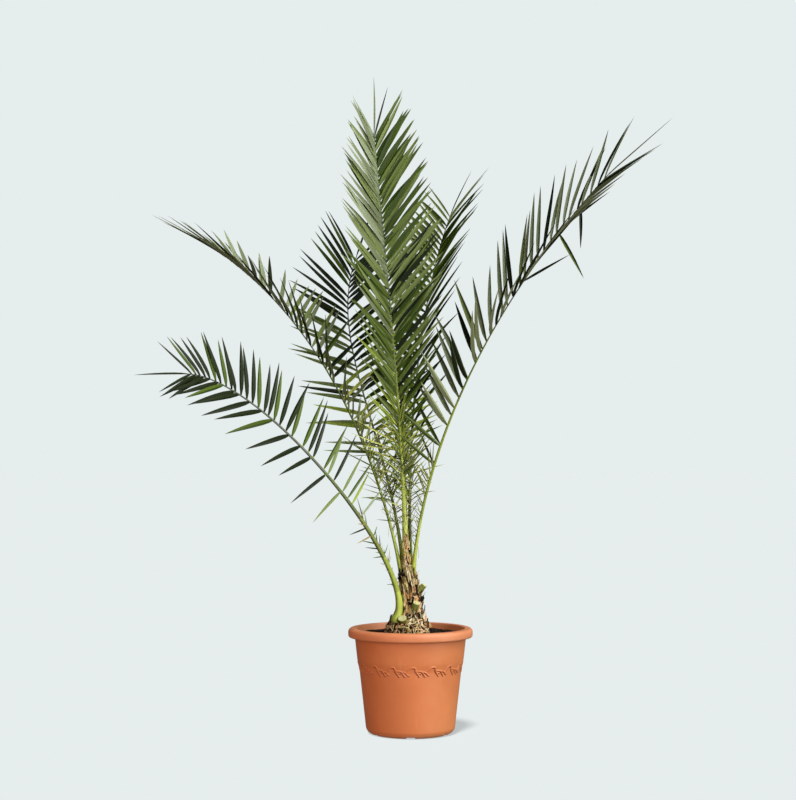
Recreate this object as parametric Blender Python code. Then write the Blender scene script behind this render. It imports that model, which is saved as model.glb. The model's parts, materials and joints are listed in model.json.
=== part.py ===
"""Potted Canary Island date palm, about 1.8 m tall.

A young palm in a terracotta-coloured nursery pot: the pot, the soil that fills it, the
fibrous trunk with its cut leaf bases, the unopened spear and six fronds.  Metres, +Z up,
the origin on the ground under the pot.  Seen from the front, -Y is near and +X is right.
Every frond grows by one rule: a petiole and rib along a smooth arch, and two rows of
folded leaflets whose angle, lift and length change along it.  A leaflet that would touch
another frond, the trunk or the pot turns away, is made shorter or is left out.
"""
import math
from collections import namedtuple
from random import Random

import bmesh
import bpy
from mathutils import Vector
from mathutils.bvhtree import BVHTree

# ---- driving sizes -------------------------------------------------------------------
GAP = 0.0003                # clearance between neighbouring solids
POT_HEIGHT = 0.287
RIM_RADIUS = 0.170
RIM_HEIGHT = 0.0245         # height of the rolled rim band
RIM_ROUND = 0.009
RIM_NECK = 0.004            # the wall turns out into the rim over this height
LIP_WIDTH = 0.003           # flat lip inside the rolled rim
BODY_TOP_RADIUS = 0.148     # pot wall just under the rim
BODY_FOOT_RADIUS = 0.1215   # pot wall just above the bottom corner
FOOT_ROUND = 0.017
WALL = 0.0032
FLOOR = 0.009
POT_SIDES = 48
GROOVES = 6                 # drainage grooves across the underside, one at the front
GROOVE_WIDTH = 0.024
GROOVE_HEIGHT = 0.005
GROOVE_START = 0.050        # grooves start this far from the centre
DRAIN_RADIUS = 0.005
DRAIN_AT = 0.085
SOIL_LEVEL = 0.262
SOIL_SLACK = 0.0006
TRUNK_SIDES = 22
TRUNK_TOP = 0.442
SOCKET_DEPTH = 0.012        # how far a petiole's foot stands in the trunk
RIB_SIDES = 6
LEAF_WIDEST = 0.30          # where a leaflet is widest, as a part of its length
LEAF_FOLD = 0.16            # how far a leaflet's edges stand above its fold, per width
LEAF_THICK = 0.0105         # leaflet thickness, as a part of its length
SPINE_THICK = 0.0016
LEAF_CLEAR = 0.0007         # a leaflet is tested this much larger than it is
WELD = 0.000002             # Boolean seams closer than this are welded

# Trunk: height, centre x, radius of the fibrous stem from the soil to the top.
TRUNK_RINGS = (
    (SOIL_LEVEL + GAP, -0.011, 0.060),
    (0.278, -0.010, 0.060),
    (0.294, -0.009, 0.055),
    (0.308, -0.006, 0.045),
    (0.322, -0.003, 0.036),
    (0.342, 0.000, 0.031),
    (0.365, 0.002, 0.0285),
    (0.390, 0.000, 0.0275),
    (0.412, -0.004, 0.0265),
    (0.430, -0.007, 0.0255),
    (TRUNK_TOP, -0.008, 0.0230),
)

# Cut leaf bases on the trunk: bearing in degrees, foot height, rise, reach, radius.
STUBS = (
    (345, 0.372, 0.030, 0.040, 0.0090),
    (300, 0.325, 0.030, 0.041, 0.0100),
    (255, 0.287, 0.022, 0.053, 0.0105),
    (70, 0.338, 0.028, 0.042, 0.0100),
    (125, 0.300, 0.026, 0.051, 0.0110),
    (100, 0.392, 0.024, 0.039, 0.0085),
)

# A frond: `arch` holds the four control points of its rib.  `bearing`, in degrees from
# +X, is the side its blade turns its back to.  `bare` is the part of the rib with spines
# only, `spines` scales them, `pairs` counts the leaflet pairs beyond it, `length` and
# `width` are a full-grown leaflet's.  theta, lift, roll and skew are degrees at the
# blade's foot, middle and tip: the leaflets' angle from the rib, their lift out of the
# blade's plane, the blade's turn about its rib, and how much wider the first row opens
# than the second.  `rows` gives each row's leaflet lengths and the part of its leaflets
# that is kept, from the blade's foot to its tip.  `last` is the length and angle of the
# leaflet at the tip.
Frond = namedtuple(
    "Frond",
    "name arch bearing foot_radius bare spines pairs length width theta lift roll skew "
    "rows last seed tint",
)
FULL = (1.0, 1.0)           # a row that keeps every leaflet

FRONDS = (
    Frond(
        "Frond_Centre",
        ((-0.0125, -0.010, 0.495), (-0.025, -0.005, 0.916), (-0.071, 0.070, 1.316), (-0.104, 0.250, 1.686)),
        95, 0.0068, 0.25, 1.0, 62, 0.234, 0.0145,
        (40, 42, 25), (22, 20, 14), (10, 10, 12), (-1, -1, -2),
        (((0.54, 0.80, 0.88, 0.82, 0.66), FULL), ((0.60, 0.90, 1.00, 1.00, 0.82), FULL)),
        (0.95, -6), 11, (0.16, 0.27, 0.06),
    ),
    Frond(
        "Frond_Lower_Left",
        ((-0.032, -0.021, 0.315), (0.010, -0.045, 0.482), (-0.401, -0.160, 0.971), (-0.577, -0.310, 0.970)),
        207, 0.0125, 0.37, 0.45, 34, 0.198, 0.0145,
        (89, 64, 38), (2, 2, 2), (-62, -72, -62), (6, -11, -7),
        (
            ((0.72, 0.80, 0.80, 0.77, 0.72), (0.0, 0.42, 0.45, 0.6, 1.0)),
            ((0.76, 0.90, 0.85, 0.73, 0.64), (0.7, 0.75, 0.9, 1.0, 1.0)),
        ),
        (0.83, 1), 12, (0.12, 0.20, 0.08),
    ),
    Frond(
        "Frond_Right",
        ((0.0065, -0.004, 0.440), (0.042, -0.020, 0.836), (0.256, -0.070, 1.219), (0.533, -0.140, 1.515)),
        345, 0.0062, 0.25, 0.7, 33, 0.235, 0.0130,
        (70, 51, 27), (46, 28, 6), (12, 28, 45), (0, 0, 0),
        (
            ((0.80, 1.05, 1.08, 1.00, 0.88), (0.6, 0.7, 0.9, 1.0, 1.0)),
            ((0.80, 1.05, 1.02, 0.95, 0.85), (0.5, 0.6, 0.8, 1.0, 1.0)),
        ),
        (0.96, -12), 13, (0.13, 0.21, 0.09),
    ),
    Frond(
        "Frond_Upper_Left",
        ((-0.025, -0.002, 0.440), (-0.100, 0.010, 0.815), (-0.275, 0.090, 1.160), (-0.571, 0.200, 1.354)),
        162, 0.0060, 0.33, 1.0, 34, 0.205, 0.0130,
        (70, 62, 23), (36, 34, 3), (0, 0, 0), (0, 0, 0),
        (
            ((0.70, 0.90, 0.95, 0.90, 1.00), (0.8, 0.8, 0.9, 1.0, 1.0)),
            ((0.70, 0.90, 0.95, 0.90, 1.00), (0.7, 0.7, 0.8, 1.0, 1.0)),
        ),
        (1.00, 1), 14, (0.14, 0.22, 0.10),
    ),
    Frond(
        "Frond_Back_Left",
        ((-0.018, 0.012, 0.440), (-0.058, 0.090, 0.840), (-0.246, 0.280, 1.081), (-0.157, 0.400, 1.345)),
        106, 0.0050, 0.30, 1.0, 33, 0.235, 0.0160,
        (82, 63, 33), (16, 14, 12), (0, -5, -10), (2, 2, 2),
        (
            ((0.78, 0.84, 0.87, 0.88, 0.80), (0.8, 0.75, 0.75, 0.9, 1.0)),
            ((0.80, 0.93, 0.97, 0.95, 0.80), (0.9, 1.0)),
        ),
        (0.80, 1), 15, (0.07, 0.12, 0.06),
    ),
    Frond(
        "Frond_Back_Right",
        ((0.001, 0.014, 0.440), (-0.014, 0.050, 0.806), (0.025, 0.150, 1.204), (0.123, 0.340, 1.467)),
        68, 0.0050, 0.28, 1.0, 40, 0.205, 0.0120,
        (44, 51, 36), (22, 22, 16), (-10, -14, -16), (0, 5, 2),
        (
            ((0.65, 0.90, 1.00, 0.95, 0.85), FULL),
            ((0.65, 0.90, 1.00, 0.95, 0.88), (0.5, 0.5, 0.6, 0.8, 1.0)),
        ),
        (0.95, -3), 16, (0.15, 0.23, 0.08),
    ),
)
RIB_TIP_RADIUS = 0.0013
FOOT_FLARE = 0.06           # the petiole's swollen foot fades over this part of the rib
SPINE_PAIRS = 13            # stiff spines on the bare part of each petiole
SPINE_LENGTHS = (0.045, 0.165)
SPINE_WIDTHS = (0.0034, 0.0072)

Leaf = namedtuple("Leaf", "root along face length width")


# ---- small helpers -------------------------------------------------------------------
def clear_scene():
    """Remove every object that the scene holds."""
    for obj in list(bpy.data.objects):
        bpy.data.objects.remove(obj, do_unlink=True)


def material(name, colour, roughness):
    """A Principled material of one plain colour."""
    mat = bpy.data.materials.new(name)
    mat.use_nodes = True
    shader = mat.node_tree.nodes["Principled BSDF"]
    shader.inputs["Base Color"].default_value = (*colour, 1.0)
    shader.inputs["Roughness"].default_value = roughness
    shader.inputs["Metallic"].default_value = 0.0
    mat.diffuse_color = (*colour, 1.0)
    return mat


def make_object(name, verts, faces, mat=None):
    """A mesh object from vertex and face lists, its faces turned outwards."""
    mesh = bpy.data.meshes.new(name)
    mesh.from_pydata([tuple(v) for v in verts], [], faces)
    bm = bmesh.new()
    bm.from_mesh(mesh)
    bmesh.ops.recalc_face_normals(bm, faces=bm.faces)
    bm.to_mesh(mesh)
    bm.free()
    obj = bpy.data.objects.new(name, mesh)
    bpy.context.scene.collection.objects.link(obj)
    if mat:
        mesh.materials.append(mat)
    return obj


def join(base, others, operation):
    """Union or cut `base` with a list of objects in one Boolean, then drop them."""
    group = bpy.data.collections.new(base.name + "_parts")
    bpy.context.scene.collection.children.link(group)
    for obj in others:
        bpy.context.scene.collection.objects.unlink(obj)
        group.objects.link(obj)
    boolean = base.modifiers.new("Join", "BOOLEAN")
    boolean.operation = operation
    boolean.operand_type = "COLLECTION"
    boolean.collection = group
    boolean.solver = "EXACT"
    graph = bpy.context.evaluated_depsgraph_get()
    mesh = bpy.data.meshes.new_from_object(base.evaluated_get(graph))
    base.modifiers.clear()
    base.data = mesh
    for obj in others:
        bpy.data.objects.remove(obj, do_unlink=True)
    bpy.data.collections.remove(group)
    tidy(base)


def tidy(obj):
    """Weld the seams of a Boolean and keep only the largest closed shell."""
    bm = bmesh.new()
    bm.from_mesh(obj.data)
    bmesh.ops.remove_doubles(bm, verts=bm.verts, dist=WELD)
    bmesh.ops.dissolve_degenerate(bm, edges=bm.edges, dist=WELD)
    bmesh.ops.triangulate(bm, faces=bm.faces)
    bmesh.ops.delete(bm, geom=twin_faces(bm), context="FACES")
    shells = shells_of(bm)
    largest = max(shells, key=len)
    scraps = [face for shell in shells if shell is not largest for face in shell]
    bmesh.ops.delete(bm, geom=scraps, context="FACES")
    loose = [vert for vert in bm.verts if not vert.link_faces]
    bmesh.ops.delete(bm, geom=loose, context="VERTS")
    bmesh.ops.recalc_face_normals(bm, faces=bm.faces)
    bm.to_mesh(obj.data)
    bm.free()


def twin_faces(bm):
    """Faces that lie back to back on the same corners and enclose nothing."""
    bm.verts.index_update()
    faces = {}
    for face in bm.faces:
        faces.setdefault(frozenset(vert.index for vert in face.verts), []).append(face)
    return [face for twins in faces.values() if len(twins) > 1 for face in twins]


def shells_of(bm):
    """The faces of a mesh, in one list for each connected shell."""
    todo = set(bm.faces)
    shells = []
    while todo:
        stack = [todo.pop()]
        shell = []
        while stack:
            face = stack.pop()
            shell.append(face)
            for edge in face.edges:
                for other in edge.link_faces:
                    if other in todo:
                        todo.remove(other)
                        stack.append(other)
        shells.append(shell)
    return shells


def smooth(obj, angle=40.0):
    """Shade a round piece smooth except over sharp edges."""
    for face in obj.data.polygons:
        face.use_smooth = True
    bm = bmesh.new()
    bm.from_mesh(obj.data)
    for edge in bm.edges:
        edge.smooth = len(edge.link_faces) == 2 and edge.calc_face_angle(0) < math.radians(angle)
    bm.to_mesh(obj.data)
    bm.free()


def lathe(profile, sides):
    """Turn a closed profile of (radius, height) about Z; its ends lie on the axis."""
    verts = [Vector((0, 0, profile[0][1]))]
    for radius, height in profile[1:-1]:
        for i in range(sides):
            turn = 2 * math.pi * i / sides
            verts.append(Vector((radius * math.cos(turn), radius * math.sin(turn), height)))
    verts.append(Vector((0, 0, profile[-1][1])))
    rings = len(profile) - 2
    faces = [(0, 1 + (i + 1) % sides, 1 + i) for i in range(sides)]
    for ring in range(rings - 1):
        low = 1 + ring * sides
        for i in range(sides):
            k = (i + 1) % sides
            faces.append((low + i, low + k, low + sides + k, low + sides + i))
    last = 1 + (rings - 1) * sides
    faces += [(last + i, last + (i + 1) % sides, len(verts) - 1) for i in range(sides)]
    return verts, faces


def arc(centre, radius, start, end, steps):
    """Points of (radius, height) along an arc, angles in degrees."""
    points = []
    for i in range(steps + 1):
        turn = math.radians(start + (end - start) * i / steps)
        points.append((centre[0] + radius * math.cos(turn), centre[1] + radius * math.sin(turn)))
    return points


def tube(centres, radii, sides):
    """A closed tube through `centres`, flat across both ends."""
    verts = []
    guide = Vector((0, 1, 0))
    for i, centre in enumerate(centres):
        ahead = centres[min(i + 1, len(centres) - 1)]
        behind = centres[max(i - 1, 0)]
        along = (ahead - behind).normalized()
        across = along.cross(guide).normalized()
        guide = across.cross(along).normalized()
        for k in range(sides):
            turn = 2 * math.pi * k / sides
            verts.append(centre + (across * math.cos(turn) + guide * math.sin(turn)) * radii[i])
    faces = [tuple(reversed(range(sides)))]
    for i in range(len(centres) - 1):
        for k in range(sides):
            n = (k + 1) % sides
            faces.append((i * sides + k, i * sides + n, (i + 1) * sides + n, (i + 1) * sides + k))
    last = (len(centres) - 1) * sides
    faces.append(tuple(range(last, last + sides)))
    return verts, faces


# ---- pot and soil --------------------------------------------------------------------
def wall_radius(height):
    """Outer radius of the pot's straight, tapering wall at a height."""
    foot = FOOT_ROUND + FLOOR / 2
    top = POT_HEIGHT - RIM_HEIGHT - RIM_NECK
    share = (height - foot) / (top - foot)
    return BODY_FOOT_RADIUS + (BODY_TOP_RADIUS - BODY_FOOT_RADIUS) * share


def build_pot(mat):
    """The tapering pot with its rolled rim, drainage grooves and drain holes."""
    rim_foot = POT_HEIGHT - RIM_HEIGHT
    inner_lip = wall_radius(POT_HEIGHT) - WALL
    profile = [(0.0, 0.0)]
    corner = (BODY_FOOT_RADIUS - FOOT_ROUND - GAP, FOOT_ROUND)
    profile += arc(corner, FOOT_ROUND, -90, -6, 4)
    for height in (0.07, 0.12, 0.152, 0.190, rim_foot - RIM_NECK):
        profile.append((wall_radius(height), height))
    profile.append((BODY_TOP_RADIUS + LIP_WIDTH, rim_foot - GAP))
    profile += arc((RIM_RADIUS - RIM_ROUND, rim_foot + RIM_ROUND), RIM_ROUND, -80, 0, 3)
    profile += arc((RIM_RADIUS - RIM_ROUND, POT_HEIGHT - RIM_ROUND), RIM_ROUND, 10, 90, 4)
    profile += [(inner_lip + LIP_WIDTH, POT_HEIGHT), (inner_lip, POT_HEIGHT - LIP_WIDTH)]
    for height in (0.255, 0.13, FLOOR + 0.006):
        profile.append((wall_radius(height) - WALL, height))
    profile += [(wall_radius(FLOOR) - WALL - 0.005, FLOOR), (0.0, FLOOR)]
    pot = make_object("Pot", *lathe(profile, POT_SIDES), mat)
    cutters = []
    for i in range(GROOVES):
        turn = 2 * math.pi * i / GROOVES + math.pi / 6
        cutters.append(groove_cutter(turn))
    join(pot, cutters, "DIFFERENCE")
    smooth(pot, 35)
    return pot


def groove_cutter(turn):
    """One radial groove under the pot with its drain hole, as one cutting solid."""
    start = GROOVE_START
    end = BODY_FOOT_RADIUS + 0.01
    half = GROOVE_WIDTH / 2
    out = Vector((math.cos(turn), math.sin(turn), 0))
    across = Vector((-math.sin(turn), math.cos(turn), 0))
    verts = []
    for height in (-0.01, GROOVE_HEIGHT):
        for reach, side in ((start, -half), (end, -half), (end, half), (start, half)):
            verts.append(out * reach + across * side + Vector((0, 0, height)))
    faces = [(0, 3, 2, 1), (4, 5, 6, 7)]
    faces += [(i, (i + 1) % 4, (i + 1) % 4 + 4, i + 4) for i in range(4)]
    groove = make_object("Groove", verts, faces)
    centre = out * DRAIN_AT
    ends = [centre + Vector((0, 0, height)) for height in (0.001, FLOOR + 0.002)]
    hole = make_object("Drain", *tube(ends, (DRAIN_RADIUS, DRAIN_RADIUS), 12))
    join(groove, [hole], "UNION")
    return groove


def build_soil(mat):
    """Potting soil that fills the pot up to just under its rim."""
    inset = WALL + SOIL_SLACK
    low = FLOOR + GAP
    profile = [(0.0, low), (wall_radius(FLOOR) - inset - 0.006, low)]
    for height in (FLOOR + 0.007, 0.13, SOIL_LEVEL - 0.003):
        profile.append((wall_radius(height) - inset - 0.0004, height))
    profile += [(wall_radius(SOIL_LEVEL) - inset - 0.004, SOIL_LEVEL), (0.0, SOIL_LEVEL)]
    soil = make_object("Soil", *lathe(profile, POT_SIDES // 2), mat)
    smooth(soil)
    return soil


# ---- trunk ---------------------------------------------------------------------------
def trunk_at(height):
    """Centre x and radius of the trunk at a height."""
    rings = TRUNK_RINGS
    for (z0, x0, r0), (z1, x1, r1) in zip(rings, rings[1:]):
        if height <= z1:
            share = max(0.0, (height - z0) / (z1 - z0))
            return x0 + (x1 - x0) * share, r0 + (r1 - r0) * share
    return rings[-1][1], rings[-1][2]


def trunk_shell():
    """The fibrous stem: stacked rings with shallow lobes, cut flat at the soil."""
    rng = Random(5)
    verts = []
    for height, centre, radius in TRUNK_RINGS:
        phase = rng.uniform(0, 6.28)
        flat = height in (TRUNK_RINGS[0][0], TRUNK_TOP)
        for k in range(TRUNK_SIDES):
            turn = 2 * math.pi * k / TRUNK_SIDES
            lobe = 1 + 0.045 * math.sin(5 * turn + phase) + 0.03 * math.sin(8 * turn - phase)
            rise = 0.0 if flat else rng.uniform(-0.0015, 0.0015)
            verts.append(Vector((
                centre + radius * lobe * math.cos(turn),
                radius * lobe * math.sin(turn),
                height + rise,
            )))
    rings = len(TRUNK_RINGS)
    faces = [tuple(reversed(range(TRUNK_SIDES)))]
    for ring in range(rings - 1):
        low = ring * TRUNK_SIDES
        for k in range(TRUNK_SIDES):
            n = (k + 1) % TRUNK_SIDES
            faces.append((low + k, low + n, low + TRUNK_SIDES + n, low + TRUNK_SIDES + k))
    last = (rings - 1) * TRUNK_SIDES
    faces.append(tuple(range(last, last + TRUNK_SIDES)))
    return verts, faces


def stub_tube(stub):
    """Centres and radii of one cut leaf base."""
    bearing, height, rise, reach, radius = stub
    turn = math.radians(bearing)
    out = Vector((math.cos(turn), math.sin(turn), 0))
    axis = Vector((trunk_at(height)[0], 0, height))
    inner = axis + out * reach * 0.35
    outer = axis + out * reach + Vector((0, 0, rise))
    return [inner, inner.lerp(outer, 0.6), outer], (radius * 1.15, radius, radius * 0.82)


def sheath_tube():
    """Centres and radii of the fibre sheath round the centre frond's foot."""
    foot = Vector(FRONDS[0].arch[0])
    base = Vector((-0.0095, -0.0075, TRUNK_TOP - 0.022))
    top = foot + Vector((-0.0004, 0.0002, 0.012))
    centres = [base, base.lerp(top, 0.4), base.lerp(top, 0.75), top]
    return centres, (0.0125, 0.0108, 0.0100, 0.0092)


def build_trunk(mat):
    """Trunk, sheath and cut leaf bases as one solid, with a socket for every petiole."""
    trunk = make_object("Trunk", *trunk_shell(), mat)
    parts = [make_object("Stub", *tube(*stub_tube(stub), 8)) for stub in STUBS]
    parts.append(make_object("Sheath", *tube(*sheath_tube(), 12)))
    join(trunk, parts, "UNION")
    sockets = []
    for frond in FRONDS:
        centres, radii = rib_tube(frond)
        centres, radii = centres[:9], [radius + 1.25 * GAP for radius in radii[:9]]
        centres[0] = centres[0] + (centres[0] - centres[1]).normalized() * GAP
        sockets.append(make_object("Socket", *tube(centres, radii, RIB_SIDES)))
    sockets.append(make_object("Socket", *spear_solid(1.25 * GAP)))
    join(trunk, sockets, "DIFFERENCE")
    smooth(trunk, 50)
    return trunk


# ---- fronds --------------------------------------------------------------------------
def blend(stops, share):
    """Value at `share` (0 to 1) along evenly spaced stops."""
    place = min(max(share, 0.0), 1.0) * (len(stops) - 1)
    low = min(int(place), len(stops) - 2)
    return stops[low] + (stops[low + 1] - stops[low]) * (place - low)


def arch_point(arch, t):
    """Point of a cubic Bezier arch."""
    a, b, c, d = (Vector(point) for point in arch)
    s = 1 - t
    return a * s ** 3 + b * 3 * s * s * t + c * 3 * s * t * t + d * t ** 3


def arch_heading(arch, t):
    """Unit tangent of a cubic Bezier arch."""
    a, b, c, d = (Vector(point) for point in arch)
    s = 1 - t
    return ((b - a) * s * s + (c - b) * 2 * s * t + (d - c) * t * t).normalized()


def rib_radius(frond, t):
    """Radius of the petiole and rib, swollen at the foot and fine at the tip."""
    taper = RIB_TIP_RADIUS + (frond.foot_radius * 0.62 - RIB_TIP_RADIUS) * (1 - t) ** 1.1
    return taper + frond.foot_radius * 0.38 * math.exp(-t / FOOT_FLARE)


def rib_tube(frond):
    """Centres and radii along a frond's petiole and rib, from inside its socket."""
    foot = Vector(frond.arch[0]) - arch_heading(frond.arch, 0) * SOCKET_DEPTH
    stations = [0.0, 0.02, 0.045, 0.075, 0.11, 0.15, 0.20, 0.26]
    stations += [0.26 + 0.74 * i / 9 for i in range(1, 10)]
    centres = [foot] + [arch_point(frond.arch, t) for t in stations]
    radii = [rib_radius(frond, 0)] + [rib_radius(frond, t) for t in stations]
    return centres, radii


def blade_frame(frond, t, share):
    """Across and upper-face directions of the blade at one place on its rib."""
    bearing = math.radians(frond.bearing)
    outward = Vector((math.cos(bearing), math.sin(bearing), 0))
    along = arch_heading(frond.arch, t)
    sideways = Vector((-outward.y, outward.x, 0))
    upper = sideways.cross(along)
    if upper.dot(Vector((0, 0, 1)) - outward * 0.4) < 0:
        upper.negate()
    upper.normalize()
    across = upper.cross(along).normalized()
    roll = math.radians(blend(frond.roll, share))
    turned = across * math.cos(roll) + upper * math.sin(roll)
    return along, turned, upper * math.cos(roll) - across * math.sin(roll)


def leaf_direction(frame, side, theta, lift):
    """Unit direction of a leaflet; angles in degrees."""
    along, across, upper = frame
    theta, lift = math.radians(theta), math.radians(lift)
    spread = across * (side * math.cos(lift)) + upper * math.sin(lift)
    return (along * math.cos(theta) + spread * math.sin(theta)).normalized()


def plan_leaves(frond):
    """Every leaflet and spine that the rule asks for, before any clash is looked at."""
    rng = Random(frond.seed)
    wishes = []
    for pair in range(SPINE_PAIRS):
        for side in (1, -1):
            share = (pair + rng.random()) / SPINE_PAIRS
            t = frond.bare * (0.30 + 0.68 * share)
            length = frond.spines * blend(SPINE_LENGTHS, share)
            wishes.append((
                t, side, rng.uniform(35, 80), frond.lift[0] + rng.uniform(-30, 30),
                length * rng.uniform(0.7, 1.15), blend(SPINE_WIDTHS, share),
            ))
    due = [0.5, 0.5]
    for pair in range(frond.pairs):
        for row, side in enumerate((1, -1)):
            share = (pair + 0.25 * (side > 0) + rng.uniform(-0.18, 0.18)) / (frond.pairs - 0.3)
            share = min(max(share, 0.0), 1.0)
            turn, tilt, vary = rng.uniform(-5, 5), rng.uniform(-7, 7), rng.uniform(0.92, 1.06)
            sizes, kept = frond.rows[row]
            due[row] += blend(kept, share)
            if due[row] < 1.0:
                continue
            due[row] -= 1.0
            size = blend(sizes, share)
            wishes.append((
                frond.bare + (0.992 - frond.bare) * share, side,
                blend(frond.theta, share) + side * blend(frond.skew, share) + turn,
                blend(frond.lift, share) + tilt,
                frond.length * size * vary,
                frond.width * (0.75 + 0.25 * size),
            ))
    size, theta = frond.last
    wishes.append((0.996, 1, theta, 0.0, frond.length * size, frond.width * 0.8))
    return wishes


def make_leaf(frond, wish, turn=0.0, tilt=0.0, scale=1.0):
    """The leaf of one wish, turned, tilted or shortened as asked."""
    t, side, theta, lift, length, width = wish
    share = max(0.0, (t - frond.bare) / (1 - frond.bare))
    frame = blade_frame(frond, t, share)
    along = leaf_direction(frame, side, theta + turn, lift + tilt)
    raised = math.radians(lift + tilt)
    face = frame[2] * math.cos(raised) - frame[1] * (side * math.sin(raised))
    face = (face - along * face.dot(along)).normalized()
    root = arch_point(frond.arch, t)
    return Leaf(root, along, face, length * scale, width)


def leaf_solid(leaf, grow=0.0):
    """Eight faces: a root inside the rib, a folded waist and a sharp tip."""
    side = leaf.along.cross(leaf.face)
    waist = leaf.root + leaf.along * (leaf.length * LEAF_WIDEST)
    half = leaf.width / 2 + grow
    thick = max(leaf.length * LEAF_THICK, SPINE_THICK)
    edge = leaf.face * (leaf.width * LEAF_FOLD)
    verts = [
        leaf.root,
        waist + side * half + edge,
        waist + leaf.face * (thick / 2 + grow),
        waist - side * half + edge,
        waist - leaf.face * (thick / 2 + grow),
        leaf.root + leaf.along * (leaf.length + grow),
    ]
    faces = []
    for i in range(4):
        k = 1 + (i + 1) % 4
        faces.append((0, k, 1 + i))
        faces.append((1 + i, k, 5))
    return verts, faces


# Ways to dodge a clash: turn from the rib, tilt out of the blade, length kept.
DODGES = (
    (0, 0, 1.0), (0, 12, 1.0), (-9, 0, 1.0), (9, 0, 1.0), (0, -14, 1.0), (-9, 14, 1.0),
    (0, 26, 1.0), (-18, 0, 1.0), (0, 0, 0.75), (-12, 20, 0.8), (10, -20, 0.8), (0, 0, 0.5),
    (-20, 30, 0.6),
)


def grow_leaves(frond, obstacles):
    """The leaves of a frond that find room among the obstacles."""
    kept = []
    for wish in plan_leaves(frond):
        for turn, tilt, scale in DODGES:
            leaf = make_leaf(frond, wish, turn, tilt, scale)
            probe = BVHTree.FromPolygons(*leaf_solid(leaf, LEAF_CLEAR))
            if not any(obstacle.overlap(probe) for obstacle in obstacles):
                kept.append(leaf)
                break
    return kept


def merged(solids):
    """One BVH tree of several closed solids."""
    verts, faces = [], []
    for solid_verts, solid_faces in solids:
        start = len(verts)
        verts += solid_verts
        faces += [tuple(start + index for index in face) for face in solid_faces]
    return BVHTree.FromPolygons(verts, faces)


def spear_solid(grow=0.0):
    """The unopened centre leaf: a slim pleated spike behind the centre frond."""
    foot = Vector((-0.006, 0.005, TRUNK_TOP - SOCKET_DEPTH - grow))
    tip = Vector((-0.030, 0.060, 1.02))
    shares = (0.0, 0.1, 0.35, 0.6, 0.8, 0.93, 1.0)
    radii = [radius + grow for radius in (0.0036, 0.0040, 0.0050, 0.0048, 0.0036, 0.0020, 0.0007)]
    centres = [foot.lerp(tip, share) for share in shares]
    return tube(centres, radii, 8)


def fixed_solids():
    """Solids that no leaf may touch: trunk, sheath, stubs, spear, pot and soil."""
    solids = [trunk_shell(), tube(*sheath_tube(), 12), spear_solid()]
    solids += [tube(*stub_tube(stub), 8) for stub in STUBS]
    edge = [(0.0, 0.0), (BODY_FOOT_RADIUS, 0.0), (RIM_RADIUS, POT_HEIGHT), (0.0, SOIL_LEVEL)]
    solids.append(lathe(edge, 32))
    return solids


def build_fronds():
    """All fronds, each clear of the ones before it."""
    ribs = {}
    for frond in FRONDS:
        centres, radii = rib_tube(frond)
        ribs[frond.name] = tube(centres, [radius + LEAF_CLEAR for radius in radii], RIB_SIDES)
    placed = [merged(fixed_solids())]
    for frond in FRONDS:
        others = merged([rib for name, rib in ribs.items() if name != frond.name])
        leaves = grow_leaves(frond, placed + [others])
        solids = [leaf_solid(leaf) for leaf in leaves]
        mat = material(frond.name + "_green", frond.tint, 0.5)
        centres, radii = rib_tube(frond)
        obj = make_object(frond.name, *tube(centres, radii, RIB_SIDES), mat)
        join(obj, [make_object("Leaf", *solid) for solid in solids], "UNION")
        placed.append(merged(solids))
        print(frond.name, "leaves", len(leaves), "triangles", len(obj.data.polygons))


def build():
    """Build the whole plant."""
    clear_scene()
    build_pot(material("Terracotta_plastic", (0.62, 0.24, 0.11), 0.55))
    build_soil(material("Potting_soil", (0.02, 0.016, 0.012), 0.95))
    build_trunk(material("Palm_fibre", (0.24, 0.17, 0.10), 0.9))
    spear = make_object("Spear", *spear_solid(), material("Spear_green", (0.20, 0.30, 0.08), 0.5))
    smooth(spear)
    build_fronds()


build()
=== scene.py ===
# %% [markdown]
# # A young date palm in a nursery pot
# A Canary Island date palm is a crown of feather leaves, called fronds, on a short stem of
# old leaf bases and brown fibre. This lesson builds one in a terracotta-coloured pot: first
# the camera and the light, then the finishes, then the pot, the stem and the fronds.
# All sizes are in metres. The ground is z = 0, -Y is towards the camera and +X is right.

import json
import math
from collections import namedtuple
from random import Random

import bmesh
import bpy
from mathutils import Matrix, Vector, noise
from mathutils.bvhtree import BVHTree

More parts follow.
